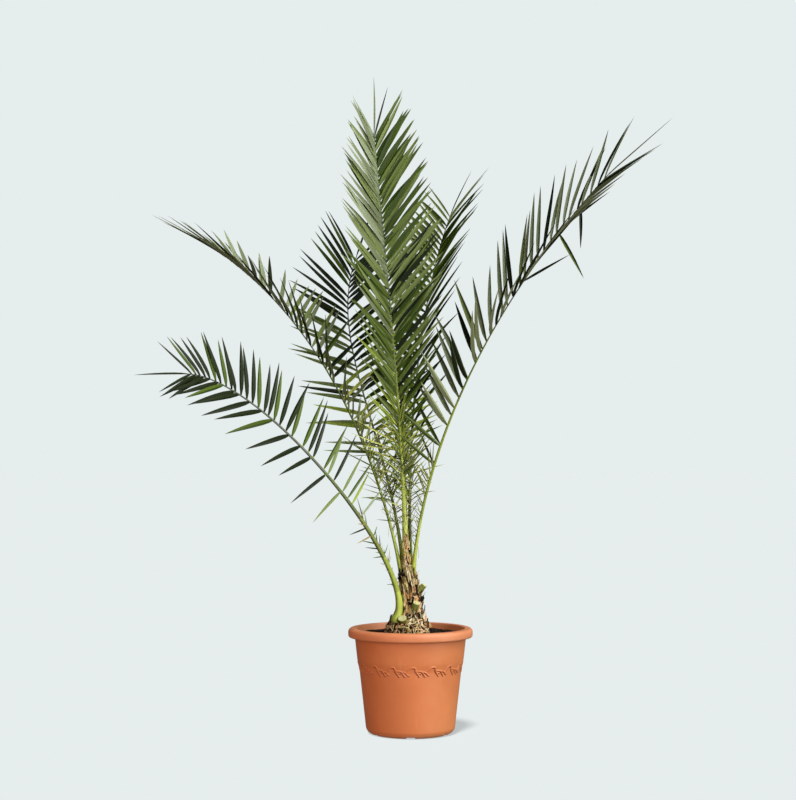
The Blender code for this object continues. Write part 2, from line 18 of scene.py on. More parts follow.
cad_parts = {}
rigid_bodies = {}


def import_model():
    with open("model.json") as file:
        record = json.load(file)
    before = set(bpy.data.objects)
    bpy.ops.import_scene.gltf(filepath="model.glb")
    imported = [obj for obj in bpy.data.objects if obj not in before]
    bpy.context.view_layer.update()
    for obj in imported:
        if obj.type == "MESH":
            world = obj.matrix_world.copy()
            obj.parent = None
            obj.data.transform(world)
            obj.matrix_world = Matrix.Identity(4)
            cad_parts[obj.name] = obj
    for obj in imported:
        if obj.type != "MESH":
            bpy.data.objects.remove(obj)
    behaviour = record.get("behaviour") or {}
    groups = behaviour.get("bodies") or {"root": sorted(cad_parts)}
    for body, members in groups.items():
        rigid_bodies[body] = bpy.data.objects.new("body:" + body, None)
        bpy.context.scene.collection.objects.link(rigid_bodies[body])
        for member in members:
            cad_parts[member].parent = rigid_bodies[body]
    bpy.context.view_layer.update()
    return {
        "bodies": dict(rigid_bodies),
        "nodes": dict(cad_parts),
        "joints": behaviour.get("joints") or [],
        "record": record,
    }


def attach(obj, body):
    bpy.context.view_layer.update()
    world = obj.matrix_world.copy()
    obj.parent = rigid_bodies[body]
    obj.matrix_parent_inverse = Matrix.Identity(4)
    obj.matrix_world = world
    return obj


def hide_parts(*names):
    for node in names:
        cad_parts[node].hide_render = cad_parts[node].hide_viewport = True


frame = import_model()
print("frame holds", len(frame["nodes"]), "solids")

# %% [markdown]
# ## The camera
# A tall plant is best seen from a few metres away through a long lens, so that the near and
# far fronds keep the same scale. The lens follows from two facts: how far the camera stands
# from the stem and how many metres one pixel covers there.

# %% Camera
PICTURE_HEIGHT = 800
METRES_PER_PIXEL = 0.002742
CAMERA_HEIGHT = 0.80
CAMERA_DISTANCE = 5.0
CAMERA_X = -0.034
HORIZON_ROW = 440               # pixel row, from the top, of the camera's own height
SENSOR = 36.0


def add_camera():
    """The camera, aimed a little up so that the frame's middle is where it should be."""
    data = bpy.data.cameras.new("Camera")
    data.sensor_width = SENSOR
    data.lens = SENSOR * CAMERA_DISTANCE / (PICTURE_HEIGHT * METRES_PER_PIXEL)
    camera = bpy.data.objects.new("Camera", data)
    bpy.context.scene.collection.objects.link(camera)
    camera.location = (CAMERA_X, -CAMERA_DISTANCE, CAMERA_HEIGHT)
    rise = (HORIZON_ROW - PICTURE_HEIGHT / 2) * METRES_PER_PIXEL
    camera.rotation_euler = (math.pi / 2 + math.atan(rise / CAMERA_DISTANCE), 0, 0)
    bpy.context.scene.camera = camera
    return camera


camera = add_camera()
print("lens", round(camera.data.lens, 1), "mm")

# %% [markdown]
# ## Writing a material as an expression
# A node tree is hard to read as a list of links. A small class wraps a node's output, so
# that arithmetic on it adds Math nodes and a finish reads as a formula. Every other node
# comes from one method: its type, its settings, then the values or links of its sockets.

# %% Shader helpers
def rgb(red, green, blue):
    """A colour given as it looks on a screen, 0 to 255, in the renderer's linear values."""
    linear = []
    for part in (red, green, blue):
        c = part / 255
        linear.append(c / 12.92 if c <= 0.04045 else ((c + 0.055) / 1.055) ** 2.4)
    return (*linear, 1.0)


class Value:
    """One output of a node, with the arithmetic that the finishes use."""

    def __init__(self, finish, socket):
        self.finish = finish
        self.socket = socket

    def math(self, operation, first, second):
        return self.finish.node("ShaderNodeMath", {"operation": operation}, {0: first, 1: second})

    def __add__(self, other):
        return self.math("ADD", self, other)

    def __sub__(self, other):
        return self.math("SUBTRACT", self, other)

    def __rsub__(self, other):
        return self.math("SUBTRACT", other, self)

    def __mul__(self, other):
        return self.math("MULTIPLY", self, other)

    __radd__ = __add__
    __rmul__ = __mul__


class Finish:
    """A material, and the few ways in which this script adds nodes to it."""

    def __init__(self, name):
        self.material = bpy.data.materials.new(name)
        self.material.use_nodes = True
        self.tree = self.material.node_tree
        self.shader = self.tree.nodes["Principled BSDF"]

    def node(self, kind, settings, sockets, out=0):
        """Add a node of a type, with its settings and its sockets' values or links."""
        node = self.tree.nodes.new(kind)
        for name, value in settings.items():
            if name == "stops":
                fill_ramp(node.color_ramp, value)
            else:
                setattr(node, name, value)
        for name, value in sockets.items():
            self.put(node.inputs[name], value)
        return Value(self, node.outputs[out])

    def put(self, target, value):
        """Link a Value to a socket, or set the socket's own number or colour."""
        if isinstance(value, Value):
            self.tree.links.new(value.socket, target)
        else:
            target.default_value = value

    def set(self, **sockets):
        """Set sockets of the main shader; an underscore stands for a space."""
        for name, value in sockets.items():
            self.put(self.shader.inputs[name.replace("_", " ")], value)

    def place(self):
        """Where a point lies in the plant's own metres."""
        return self.node("ShaderNodeTexCoord", {}, {}, "Object")

    def stretched(self, x, y, z):
        """The place, scaled apart along each axis, for grain that runs one way."""
        scale = {"operation": "MULTIPLY"}
        return self.node("ShaderNodeVectorMath", scale, {0: self.place(), 1: (x, y, z)})

    def noise(self, scale, detail, rough, where=None):
        """Soft random values from 0 to 1, spots about 1 / scale metres wide."""
        sockets = {"Scale": scale, "Detail": detail, "Roughness": rough}
        sockets["Vector"] = where or self.place()
        return self.node("ShaderNodeTexNoise", {}, sockets)

    def ramp(self, factor, *stops):
        """A colour picked by a value along stops of (position, colour)."""
        return self.node("ShaderNodeValToRGB", {"stops": stops}, {0: factor})

    def mask(self, factor, low, high):
        """0 below `low`, 1 above `high`, smooth in between."""
        sockets = {"Value": factor, "From Min": low, "From Max": high}
        return self.node("ShaderNodeMapRange", {"interpolation_type": "SMOOTHSTEP"}, sockets)

    def mix(self, factor, first, second):
        """Two colours mixed."""
        return self.node("ShaderNodeMix", {"data_type": "RGBA"}, {0: factor, 6: first, 7: second}, 2)

    def bump(self, height, distance, strength):
        """Turn a height into a small relief of `distance` metres."""
        sockets = {"Height": height, "Distance": distance, "Strength": strength}
        self.set(Normal=self.node("ShaderNodeBump", {}, sockets))


def fill_ramp(ramp, stops):
    """Give a colour ramp its stops."""
    while len(ramp.elements) < len(stops):
        ramp.elements.new(1.0)
    for element, (position, colour) in zip(ramp.elements, stops):
        element.position = position
        element.color = colour


print("helpers ready")

# %% [markdown]
# ## Light, floor and backdrop
# The plant stands in an even, pale room without a horizon. One soft sun from the front
# right models the leaves and the pot, a second from higher up lights what faces the
# ceiling, and a dim warm world fills the shadows. The floor and the backdrop glow by
# themselves in the room's colour, so that they stay even and throw no light on the plant.
# A warm bounce from the left reaches only the pot. One more lamp reaches only the floor,
# and only the pot's lower part blocks it: that leaves the small soft shadow at the foot.

# %% Light and room
ROOM = rgb(230, 237, 237)
ROOM_RADIUS = 40.0
ROOM_SIDES = 96
DOME_TILTS = range(-80, 81, 10) # degrees from the horizon to each ring of the dome
FLOOR_HEIGHT = -0.0004          # a hair under the pot, so that the two faces don't fight
FLOOR_GLOW = 0.62               # the part of the floor's light that is its own glow
FLOOR_ALBEDO = 0.06             # how much of the foot light the floor sends back
WORLD_COLOUR = (1.0, 0.90, 0.78)
WORLD_STRENGTH = 0.13
WARM = (1.0, 0.56, 0.40)
# Lamps: azimuth from the camera's side to the right, elevation and spread in degrees.
KEY = {"azimuth": 50, "elevation": 24, "strength": 2.95, "spread": 70}
TOP = {"azimuth": 60, "elevation": 60, "strength": 1.5, "spread": 30}
BOUNCE = {"azimuth": -30, "elevation": 8, "strength": 1.5, "spread": 70, "colour": WARM}
FOOT_AZIMUTH = -15
FOOT_ELEVATION = 38
FOOT_SPREAD = 14


def toward(azimuth, elevation):
    """Unit vector to a lamp; azimuth is turned from the camera's side to the right."""
    turn, rise = math.radians(azimuth), math.radians(elevation)
    return Vector((math.sin(turn) * math.cos(rise), -math.cos(turn) * math.cos(rise), math.sin(rise)))


def add_sun(name, azimuth, elevation, strength, spread, colour=(1, 1, 1)):
    """A soft, even lamp that shines from a direction."""
    data = bpy.data.lights.new(name, "SUN")
    data.energy = strength
    data.angle = math.radians(spread)
    data.color = colour
    lamp = bpy.data.objects.new(name, data)
    bpy.context.scene.collection.objects.link(lamp)
    lamp.rotation_euler = toward(azimuth, elevation).to_track_quat("Z", "Y").to_euler()
    return lamp


def add_stage(name, verts, faces, glow, albedo):
    """A piece of the room: it shows itself and gives the plant no light."""
    mesh = bpy.data.meshes.new(name)
    mesh.from_pydata(verts, [], faces)
    piece = bpy.data.objects.new(name, mesh)
    bpy.context.scene.collection.objects.link(piece)
    paint = Finish(name)
    paint.set(Base_Color=(albedo, albedo, albedo, 1.0), Roughness=1.0)
    paint.set(Specular_IOR_Level=0.0, Emission_Color=ROOM, Emission_Strength=glow)
    mesh.materials.append(paint.material)
    piece.visible_diffuse = False
    piece.visible_glossy = False
    piece.visible_shadow = False
    return piece


def turns_of(count):
    """Evenly spaced angles once round."""
    return [2 * math.pi * k / count for k in range(count)]


def ring(radius, height, sides):
    """A level circle of points."""
    return [(radius * math.cos(turn), radius * math.sin(turn), height) for turn in turns_of(sides)]


def loft(rings):
    """Join equal rings of points into a skin that is closed at both ends."""
    sides = len(rings[0])
    verts = [point for points in rings for point in points]
    faces = []
    for band in range(len(rings) - 1):
        low = band * sides
        for i in range(sides):
            k = (i + 1) % sides
            faces.append((low + i, low + k, low + sides + k, low + sides + i))
    faces.append(tuple(reversed(range(sides))))
    faces.append(tuple(range(len(verts) - sides, len(verts))))
    return verts, faces


def add_room():
    """The round floor, and a dome over it that meets it at the horizon."""
    circle = ring(ROOM_RADIUS, FLOOR_HEIGHT, ROOM_SIDES)
    floor = add_stage("Floor", circle, [tuple(range(ROOM_SIDES))], FLOOR_GLOW, FLOOR_ALBEDO)
    rings = []
    for tilt in map(math.radians, DOME_TILTS):
        rings.append(ring(ROOM_RADIUS * math.cos(tilt), ROOM_RADIUS * math.sin(tilt), ROOM_SIDES))
    return floor, add_stage("Backdrop", *loft(rings), 1.0, 0.0)


def add_world(colour, strength):
    """A dim, even light from all around."""
    world = bpy.data.worlds.new("Room_light")
    world.use_nodes = True
    back = world.node_tree.nodes["Background"]
    back.inputs["Color"].default_value = (*colour, 1.0)
    back.inputs["Strength"].default_value = strength
    bpy.context.scene.world = world


floor, dome = add_room()
add_world(WORLD_COLOUR, WORLD_STRENGTH)
key = add_sun("Key", **KEY)
top = add_sun("Top", **TOP)
bounce = add_sun("Bounce", **BOUNCE)
floor_share = 1 - FLOOR_GLOW - FLOOR_ALBEDO * WORLD_STRENGTH / ROOM[1]
floor_sun = math.pi * floor_share / FLOOR_ALBEDO / math.sin(math.radians(FOOT_ELEVATION))
foot_light = add_sun("Foot_light", FOOT_AZIMUTH, FOOT_ELEVATION, floor_sun, FOOT_SPREAD, ROOM[:3])
bpy.context.scene.view_settings.view_transform = "Standard"
print("stage and", len(bpy.data.lights), "lamps")


def collect(name, *pieces):
    """A collection of pieces for a lamp to reach or to be blocked by."""
    group = bpy.data.collections.new(name)
    for piece in pieces:
        group.objects.link(piece)
    return group


def link_lights(pot, pot_foot):
    """Key and top miss the room, the bounce reaches only the pot, the foot light the floor."""
    off_room = collect("All_but_room", floor, dome)
    for member in off_room.collection_objects:
        member.light_linking.link_state = "EXCLUDE"
    key.light_linking.receiver_collection = off_room
    top.light_linking.receiver_collection = off_room
    bounce.light_linking.receiver_collection = collect("Only_pot", pot, pot_foot)
    foot_light.light_linking.receiver_collection = collect("Only_floor", floor)
    foot_light.light_linking.blocker_collection = collect("Only_pot_foot", pot_foot)


# %% [markdown]
# ## Gathering many small meshes
# A palm has hundreds of leaflets and fibres. Each is a few faces, so they are gathered in
# one list of points and faces and made into one mesh per kind. Each face keeps the number
# of its finish, and each point a place along and across its leaflet for fine veins.

# %% Mesh helpers
class Pile:
    """Points, faces, finishes and vein places of one piece, gathered part by part."""

    def __init__(self):
        self.verts = []
        self.faces = []
        self.finish_of = []
        self.places = []

    def add(self, verts, faces, finishes, places=None):
        """Add one part; `finishes` is one number, or one for each face."""
        start = len(self.verts)
        self.verts += [tuple(vert) for vert in verts]
        self.faces += [tuple(start + index for index in face) for face in faces]
        self.finish_of += [finishes] * len(faces) if isinstance(finishes, int) else finishes
        self.places += places or [(0.0, 0.0)] * len(verts)

    def build(self, name, finishes, slot, replaces=(), crease=30.0):
        """Make the piece, ride it on the plant's body and hide the solids that it replaces."""
        mesh = bpy.data.meshes.new(name)
        mesh.from_pydata(self.verts, [], self.faces)
        layer = mesh.uv_layers.new(name="Veins")
        uvs = [part for loop in mesh.loops for part in self.places[loop.vertex_index]]
        layer.data.foreach_set("uv", uvs)
        mesh.polygons.foreach_set("material_index", self.finish_of)
        for finish in finishes:
            mesh.materials.append(finish.material)
        bm = bmesh.new()
        bm.from_mesh(mesh)
        bmesh.ops.recalc_face_normals(bm, faces=bm.faces)
        bm.to_mesh(mesh)
        bm.free()
        mesh.shade_smooth()
        mesh.set_sharp_from_angle(angle=math.radians(crease))
        piece = bpy.data.objects.new(name, mesh)
        bpy.context.scene.collection.objects.link(piece)
        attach(piece, "root")
        if replaces:
            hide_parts(*replaces)
        print(name, len(self.faces), "faces")
        return piece


def hoop(centre, across, up, radius, sides):
    """A circle of points in the plane of two directions."""
    return [centre + (across * math.cos(a) + up * math.sin(a)) * radius for a in turns_of(sides)]


def level(turn):
    """The level direction at an angle, in radians, from +X."""
    return Vector((math.cos(turn), math.sin(turn), 0))


def wobble(x, y, z):
    """Smooth random value from -1 to 1 at a place."""
    return noise.noise(Vector((x, y, z)))


def strand(points, radius, tip, sides=5):
    """A round fibre through `points`; `tip` is its last radius as a share of its first."""
    rings = []
    guide = Vector((0.3, 1.0, 0.2)).normalized()
    last = len(points) - 1
    for i, point in enumerate(points):
        along = (points[min(i + 1, last)] - points[max(i - 1, 0)]).normalized()
        across = along.cross(guide).normalized()
        guide = across.cross(along)
        rings.append(hoop(point, across, guide, radius * (1 - (1 - tip) * i / last), sides))
    return loft(rings)


def blend(stops, share):
    """Value at `share` (0 to 1) along evenly spaced stops."""
    place = min(max(share, 0.0), 1.0) * (len(stops) - 1)
    low = min(int(place), len(stops) - 2)
    return stops[low] + (stops[low + 1] - stops[low]) * (place - low)


def smoothstep(low, high, value):
    """0 below `low`, 1 above `high`, smooth in between."""
    share = min(max((value - low) / (high - low), 0.0), 1.0)
    return share * share * (3 - 2 * share)


print("mesh helpers ready")

# %% [markdown]
# ## The pot's plastic
# The pot is blown or moulded plastic coloured through like fired clay. It is matt, with a
# very fine grain and faint cloudy patches where the melt cooled unevenly, all small noise.
# It is rubbed paler on the rim, and that paler finish there is partly painted light; on the
# inner wall the same finish is painted light. The scroll's furrows get a darker finish:
# painted shade.

# %% Terracotta finish
def terracotta(name, dark, light, scuff):
    """Matt clay-coloured plastic with fine grain and cloudy patches."""
    paint = Finish(name)
    cloud = paint.noise(9.0, 4.0, 0.55)
    speck = paint.noise(900.0, 2.0, 0.6)
    streak = paint.noise(1.0, 4.0, 0.6, paint.stretched(60.0, 60.0, 7.0))
    clay = paint.ramp(cloud, (0.30, dark), (0.72, light))
    scuffed = paint.mix(paint.mask(streak, 0.60, 0.78) * scuff, clay, rgb(228, 158, 116))
    dotted = paint.mix(paint.mask(speck, 0.62, 0.74) * 0.20, scuffed, rgb(168, 84, 44))
    paint.set(Base_Color=dotted, Roughness=0.40 + cloud * 0.14, Specular_IOR_Level=0.5)
    paint.bump(speck * 0.7 + streak * 0.3, 0.00025, 0.35)
    return paint


# Rim clay is paler: partly wear on the rim, partly painted light there and on the inner wall.
terracottas = [
    terracotta("Terracotta_wall", rgb(197, 117, 68), rgb(209, 131, 81), 0.22),
    terracotta("Terracotta_rim_and_lit", rgb(203, 129, 86), rgb(217, 145, 102), 0.35),
    # Furrow clay: painted shade, a darker clay for the scroll's furrows.
    terracotta("Terracotta_furrow_shade", rgb(116, 46, 18), rgb(134, 56, 24), 0.0),
]
WALL_CLAY, RIM_AND_LIT_CLAY, FURROW_SHADE_CLAY = range(3)
print("made", len(terracottas), "terracottas")

# %% [markdown]
# ## The pot
# It is turned from one profile, up the outside, over the rolled rim and down the inside.
# A band below the rim carries a traditional running leaf scroll in low relief. The scroll is
# real shape: each stroke is a soft ridge with a shallow furrow at its lower left, worked
# out from the distance to a short drawn line. Six grooves under the foot let water out.

# %% Pot
POT_HEIGHT = 0.287
RIM_RADIUS = 0.170
RIM_HEIGHT = 0.0245
RIM_ROUND = 0.010               # rounding of the rim's upper edge
RIM_UNDER = 0.0055              # rounding of its lower edge
RIM_BULGE = 0.0002              # how much the rim is fullest in its middle
RIM_NECK = 0.004                # height of the hollow under the rim
NECK_ROUND = 0.0036             # rounding of that hollow
NECK_OUT = 0.0071               # how far outside the wall the hollow's round has its middle
LIP_WIDTH = 0.003
BODY_TOP_RADIUS = 0.148
BODY_FOOT_RADIUS = 0.1215
FOOT_ROUND = 0.017              # the wall's taper is counted from about this height
CORNER_REACH = 0.023            # how far in the foot's rounded corner starts
CORNER_RISE = 0.021             # how high the foot's rounded corner ends
SWELLING = 0.0030               # how much the wall swells above the scroll
WALL = 0.0032                   # thickness of the wall
FLOOR = 0.009                   # top of the floor inside
WALL_ROWS = (0.036, 0.05, 0.075, 0.1, 0.125)    # heights of the wall's rows under the scroll,
UPPER_ROWS = (0.206, 0.215, 0.225, 0.243)       # of those over it
INNER_ROWS = (0.27, 0.255, 0.13, 0.015)         # and of those inside
MIDDLE_RADIUS = 0.02            # the flat middle of the underside and of the floor
FOOT_RING = 0.075               # one more ring on the underside, across the grooves
POT_SIDES = 768
GROOVES = 6
GROOVE_WIDTH = 0.024
GROOVE_HEIGHT = 0.005
GROOVE_START = 0.050
SCROLL_UNITS = 16
SCROLL_HEIGHT = 0.1813          # middle of the scroll's band
SCROLL_HALF = 0.019
SCROLL_ROWS = 42
RIDGE = 0.0014                  # how far the scroll stands out
FURROW = 0.0012                 # how deep the line at its lower edge is
FURROW_SHIFT = 1.5              # millimetres from the stroke to its furrow
UNIT_WIDTH = 55.0               # millimetres round the pot for one unit of the scroll
FOOT_PART = 0.12                # the pot below this height is its own piece

# One unit of the scroll, in millimetres right and up: a hooked crest that runs down into a
# leaf, a second leaf that hangs from its stem, and a tendril up to the next unit.
STROKES = (
    (2.6, ((0, 12), (5, 13.5), (10, 13), (13, 9), (13.5, 4), (17, -2), (24, -11))),
    (2.3, ((14, 3), (21, 3.5), (29, 2.5), (34, -3), (39, -11))),
    (1.5, ((27, -4), (24, -2), (20, -3))),
    (1.6, ((34, 2), (42, -2), (47, -7), (51, -9))),
    (1.4, ((44, -2), (48, 3), (51, 9), (55, 12))),
)


def wall_radius(height):
    """Outer radius of the pot's straight, tapering wall at a height."""
    foot = FOOT_ROUND + FLOOR / 2
    top = POT_HEIGHT - RIM_HEIGHT - RIM_NECK
    return BODY_FOOT_RADIUS + (BODY_TOP_RADIUS - BODY_FOOT_RADIUS) * (height - foot) / (top - foot)


def ridge_at(x, y, spread):
    """Height from 0 to 1 of the nearest stroke of the scroll, its width scaled by `spread`."""
    best = 0.0
    for half, points in STROKES:
        half *= spread
        for (x0, y0), (x1, y1) in zip(points, points[1:]):
            for shift in (-UNIT_WIDTH, 0.0):
                dx, dy = x1 - x0, y1 - y0
                px, py = x - x0 - shift, y - y0
                share = min(max((px * dx + py * dy) / (dx * dx + dy * dy), 0.0), 1.0)
                gone = math.hypot(px - dx * share, py - dy * share) / half
                if gone < 1:
                    best = max(best, (1 - gone * gone) ** 0.7)
    return best


def scroll_relief():
    """How far one unit of the scroll stands out, for each row and column of the wall."""
    columns = POT_SIDES // SCROLL_UNITS
    relief = []
    for row in range(SCROLL_ROWS + 1):
        y = (2 * row / SCROLL_ROWS - 1) * SCROLL_HALF * 1000
        line = []
        for column in range(columns):
            x = column * UNIT_WIDTH / columns
            out = ridge_at(x, y, 1.0) * RIDGE
            out -= ridge_at(x + FURROW_SHIFT, y + FURROW_SHIFT, 0.9) * FURROW * (out < RIDGE * 0.5)
            line.append(out)
        relief.append(line)
    return relief


def arc(centre, radius, start, end, steps, rise=None):
    """Points of (radius, height) along an arc or, with a rise, an oval; angles in degrees."""
    turns = [math.radians(start + (end - start) * i / steps) for i in range(steps + 1)]
    tall = rise or radius
    return [(centre[0] + radius * math.cos(turn), centre[1] + tall * math.sin(turn)) for turn in turns]


def swelling(height):
    """The wall is a little fuller above the scroll and all but straight below it."""
    return 0.0006 + SWELLING * smoothstep(SCROLL_HEIGHT - 0.004, SCROLL_HEIGHT + 0.024, height)


def pot_profile():
    """The pot's closed outline from the middle of the underside to the middle of the floor."""
    rim_foot = POT_HEIGHT - RIM_HEIGHT
    corner = wall_radius(CORNER_RISE) + swelling(0) - CORNER_REACH
    under = (MIDDLE_RADIUS, GROOVE_START - 0.0005, GROOVE_START + 0.0005, FOOT_RING)
    outline = [(radius, 0.0) for radius in under]
    outline += arc((corner, CORNER_RISE), CORNER_REACH, -90, -4, 14, CORNER_RISE)
    low = SCROLL_HEIGHT - SCROLL_HALF
    outer = [*WALL_ROWS, low - 0.006]
    outer += [low + 2 * SCROLL_HALF * i / SCROLL_ROWS for i in range(SCROLL_ROWS + 1)]
    outer += [*UPPER_ROWS, rim_foot - RIM_NECK]
    outline += [(wall_radius(z) + swelling(z), z) for z in outer]
    outline += arc((BODY_TOP_RADIUS + NECK_OUT, rim_foot - RIM_NECK), NECK_ROUND, 170, 95, 4)
    outline += arc((RIM_RADIUS - RIM_UNDER, rim_foot + 0.0052), RIM_UNDER, -88, -10, 5)
    outline += [(RIM_RADIUS + RIM_BULGE, rim_foot + RIM_HEIGHT / 2)]
    outline += arc((RIM_RADIUS - RIM_ROUND, POT_HEIGHT - RIM_ROUND), RIM_ROUND, 8, 90, 9)
    lip = wall_radius(POT_HEIGHT) - WALL
    outline += arc((lip + LIP_WIDTH, POT_HEIGHT - LIP_WIDTH), LIP_WIDTH, 90, 175, 5)
    outline += [(wall_radius(z) - WALL, z) for z in INNER_ROWS]
    outline += [(wall_radius(FLOOR) - WALL - 0.005, FLOOR), (MIDDLE_RADIUS, FLOOR)]
    return outline


def groove_lift(turn, radius):
    """Height of the underside at a place: 0, or the groove's height inside a groove."""
    step = 2 * math.pi / GROOVES
    off = (turn - math.pi / 6 + step / 2) % step - step / 2
    inside = abs(radius * math.sin(off)) < GROOVE_WIDTH / 2 and radius > GROOVE_START
    return GROOVE_HEIGHT if inside else 0.0


def build_pot():
    """The whole pot as one closed skin, handed over as an upper and a lower piece."""
    relief = scroll_relief()
    low = SCROLL_HEIGHT - SCROLL_HALF
    columns = POT_SIDES // SCROLL_UNITS
    rings = []
    inside = False
    for radius, height in pot_profile():
        inside = inside or height > POT_HEIGHT - 0.0005     # over the crest, down the inside
        row = (height - low) / (2 * SCROLL_HALF) * SCROLL_ROWS
        band = not inside and abs(row - round(row)) < 1e-6 and 0 <= round(row) <= SCROLL_ROWS
        points = []
        for i, turn in enumerate(turns_of(POT_SIDES)):
            turn -= math.pi / 2
            out = radius + (relief[round(row)][i % columns] if band else 0.0)
            up = height if inside else max(height, groove_lift(turn, radius))
            points.append((out * math.cos(turn), out * math.sin(turn), up))
        rings.append(points)
    verts, faces = loft(rings)
    body, foot = ([], []), ([], [])
    for face in faces:
        corners = [Vector(verts[i]) for i in face]
        height = sum(corner.z for corner in corners) / len(corners)
        outward = sum(Vector(corner[:2]).length for corner in corners) / len(corners)
        outward -= wall_radius(height) + swelling(height)
        on_rim = height > POT_HEIGHT - RIM_HEIGHT + 0.0002
        # Rim clay on the rim is partly wear and partly painted light; on the inner wall it is painted
        # light.
        clay = RIM_AND_LIT_CLAY if on_rim or outward < -WALL / 2 else WALL_CLAY
        # Painted shade: faces sunk into the scroll's furrows take the darker furrow clay.
        if abs(height - SCROLL_HEIGHT) < SCROLL_HALF and -WALL / 2 < outward < -FURROW * 0.2:
            clay = FURROW_SHADE_CLAY
        chosen, clays = foot if height < FOOT_PART else body
        chosen.append(face)
        clays.append(clay)
    pieces = []
    for name, (chosen, clays) in (("Pot_body", body), ("Pot_foot", foot)):
        used = sorted({i for face in chosen for i in face})
        place = {old: new for new, old in enumerate(used)}
        own_faces = [tuple(place[i] for i in face) for face in chosen]
        pile = Pile()
        pile.add([verts[i] for i in used], own_faces, clays)
        pieces.append(pile.build(name, terracottas, "pot_plastic", ["Pot"], crease=38))
    return pieces


pot, pot_foot = build_pot()
link_lights(pot, pot_foot)

# %% [markdown]
# ## Potting soil
# The soil is a dark peat mix, almost black when damp. It is a rough skin with 900 crumbs of
# peat and bark on it, each a small lopsided block. There are three tones: damp, dry, bark.

# %% Soil
SOIL_LEVEL = 0.262              # top of the solid that the soil's skin stands for
SOIL_RISE = 0.0085              # how much higher the rough skin lies on average
SOIL_GAP = 0.0012               # from the skin's edge to the pot's wall
SOIL_RINGS = 46
SOIL_SIDES = 120
CRUMBS = 900
CRUMB_SIZES = (0.0012, 0.0042)
CRUMB_SIDES = 5
CRUMB_RINGS = ((-0.5, 0.6), (0.0, 1.0), (0.45, 0.6))    # height and breadth of its rings
DAMP, DRY, BARK = range(3)


def earth(name, dark, light):
    """Crumbly earth between two tones."""
    paint = Finish(name)
    grain = paint.noise(420.0, 5.0, 0.7)
    paint.set(Base_Color=paint.ramp(grain, (0.35, dark), (0.72, light)), Roughness=0.94)
    paint.set(Specular_IOR_Level=0.2)
    paint.bump(grain, 0.0012, 0.8)
    return paint


def soil_height(x, y):
    """Uneven top of the soil, some millimetres over the solid that it stands for."""
    rough = wobble(x * 24, y * 24, 3.1) * 0.0035
    fine = wobble(x * 130, y * 130, 7.7) * 0.0016
    return SOIL_LEVEL + SOIL_RISE + rough + fine


def crumb(rng, x, y, z, size):
    """A small lopsided block of peat or bark."""
    turn = rng.uniform(0, math.pi)
    across = Vector((math.cos(turn), math.sin(turn), rng.uniform(-0.3, 0.3)))
    along = Vector((-math.sin(turn), math.cos(turn), rng.uniform(-0.3, 0.3)))
    rings = []
    for height, spread in CRUMB_RINGS:
        points = []
        for a in turns_of(CRUMB_SIDES):
            reach = size * spread * rng.uniform(0.7, 1.1)
            side = across * (math.cos(a) * reach) + along * (math.sin(a) * reach * 0.7)
            points.append(Vector((x, y, z + height * size)) + side)
        rings.append(points)
    return loft(rings)


def build_soil():
    """The soil's rough top with its crumbs, inside the pot's wall."""
    rng = Random(21)
    edge = wall_radius(SOIL_LEVEL) - WALL - SOIL_GAP
    pile = Pile()
    low = wall_radius(FLOOR) - WALL - 0.008
    rings = [[Vector(point) for point in ring(low, FLOOR + 0.001, SOIL_SIDES)]]
    for i in range(SOIL_RINGS):
        reach = edge * (1 - i / SOIL_RINGS) + 0.0005
        circle = ring(reach, 0.0, SOIL_SIDES)
        rings.append([Vector((x, y, soil_height(x, y))) for x, y, _ in circle])
    pile.add(*loft(rings), DAMP)
    for _ in range(CRUMBS):
        reach, turn = (edge - 0.006) * math.sqrt(rng.random()), rng.uniform(0, 2 * math.pi)
        x, y = reach * math.cos(turn), reach * math.sin(turn)
        size = rng.uniform(*CRUMB_SIZES)
        verts, faces = crumb(rng, x, y, soil_height(x, y) + size * 0.2, size)
        pile.add(verts, faces, rng.choice((DAMP, DAMP, DRY, DRY, BARK)))
    finishes = [
        earth("Damp_peat", rgb(14, 11, 8), rgb(40, 32, 24)),
        earth("Dry_peat", rgb(30, 23, 17), rgb(66, 52, 38)),
        earth("Bark_crumb", rgb(52, 37, 25), rgb(104, 76, 52)),
    ]
    return pile.build("Soil_surface", finishes, "soil", ["Soil"])


build_soil()

# %% [markdown]
# ## Fibre and old leaf bases
# The stem is hidden under what the old leaves left: cut leaf bases, torn brown sheaths
# and, near the soil, a tangle of curled dry roots. Fibre finishes come in a few plain tones
# from near black to cream and dusty pink, each with a grain that runs up the stem. A strand
# gets one tone.

# %% Fibre finishes
def fibre(name, dark, light):
    """Dry plant fibre of one tone, grained along the stem."""
    paint = Finish(name)
    grain = paint.noise(1.0, 4.0, 0.65, paint.stretched(420.0, 420.0, 60.0))
    paint.set(Base_Color=paint.ramp(grain, (0.32, dark), (0.70, light)), Roughness=0.85)
    paint.set(Specular_IOR_Level=0.3)
    paint.bump(grain, 0.0010, 0.7)
    return paint


FIBRE_TONES = {
    "Fibre_black": (rgb(16, 9, 3), rgb(44, 28, 12)),
    "Fibre_dark": (rgb(52, 34, 12), rgb(96, 70, 34)),
    "Fibre_brown": (rgb(112, 84, 40), rgb(166, 136, 76)),
    "Fibre_tan": (rgb(188, 164, 102), rgb(230, 210, 144)),
    "Fibre_cream": (rgb(218, 202, 156), rgb(246, 234, 196)),
    "Fibre_rust": (rgb(204, 146, 82), rgb(240, 194, 124)),
    "Fibre_pink": (rgb(226, 174, 130), rgb(246, 212, 168)),
}
fibres = [fibre(name, *tones) for name, tones in FIBRE_TONES.items()]
BLACK, DARK, BROWN, TAN, CREAM, RUST, PINK = range(7)
print(len(fibres), "fibre tones")

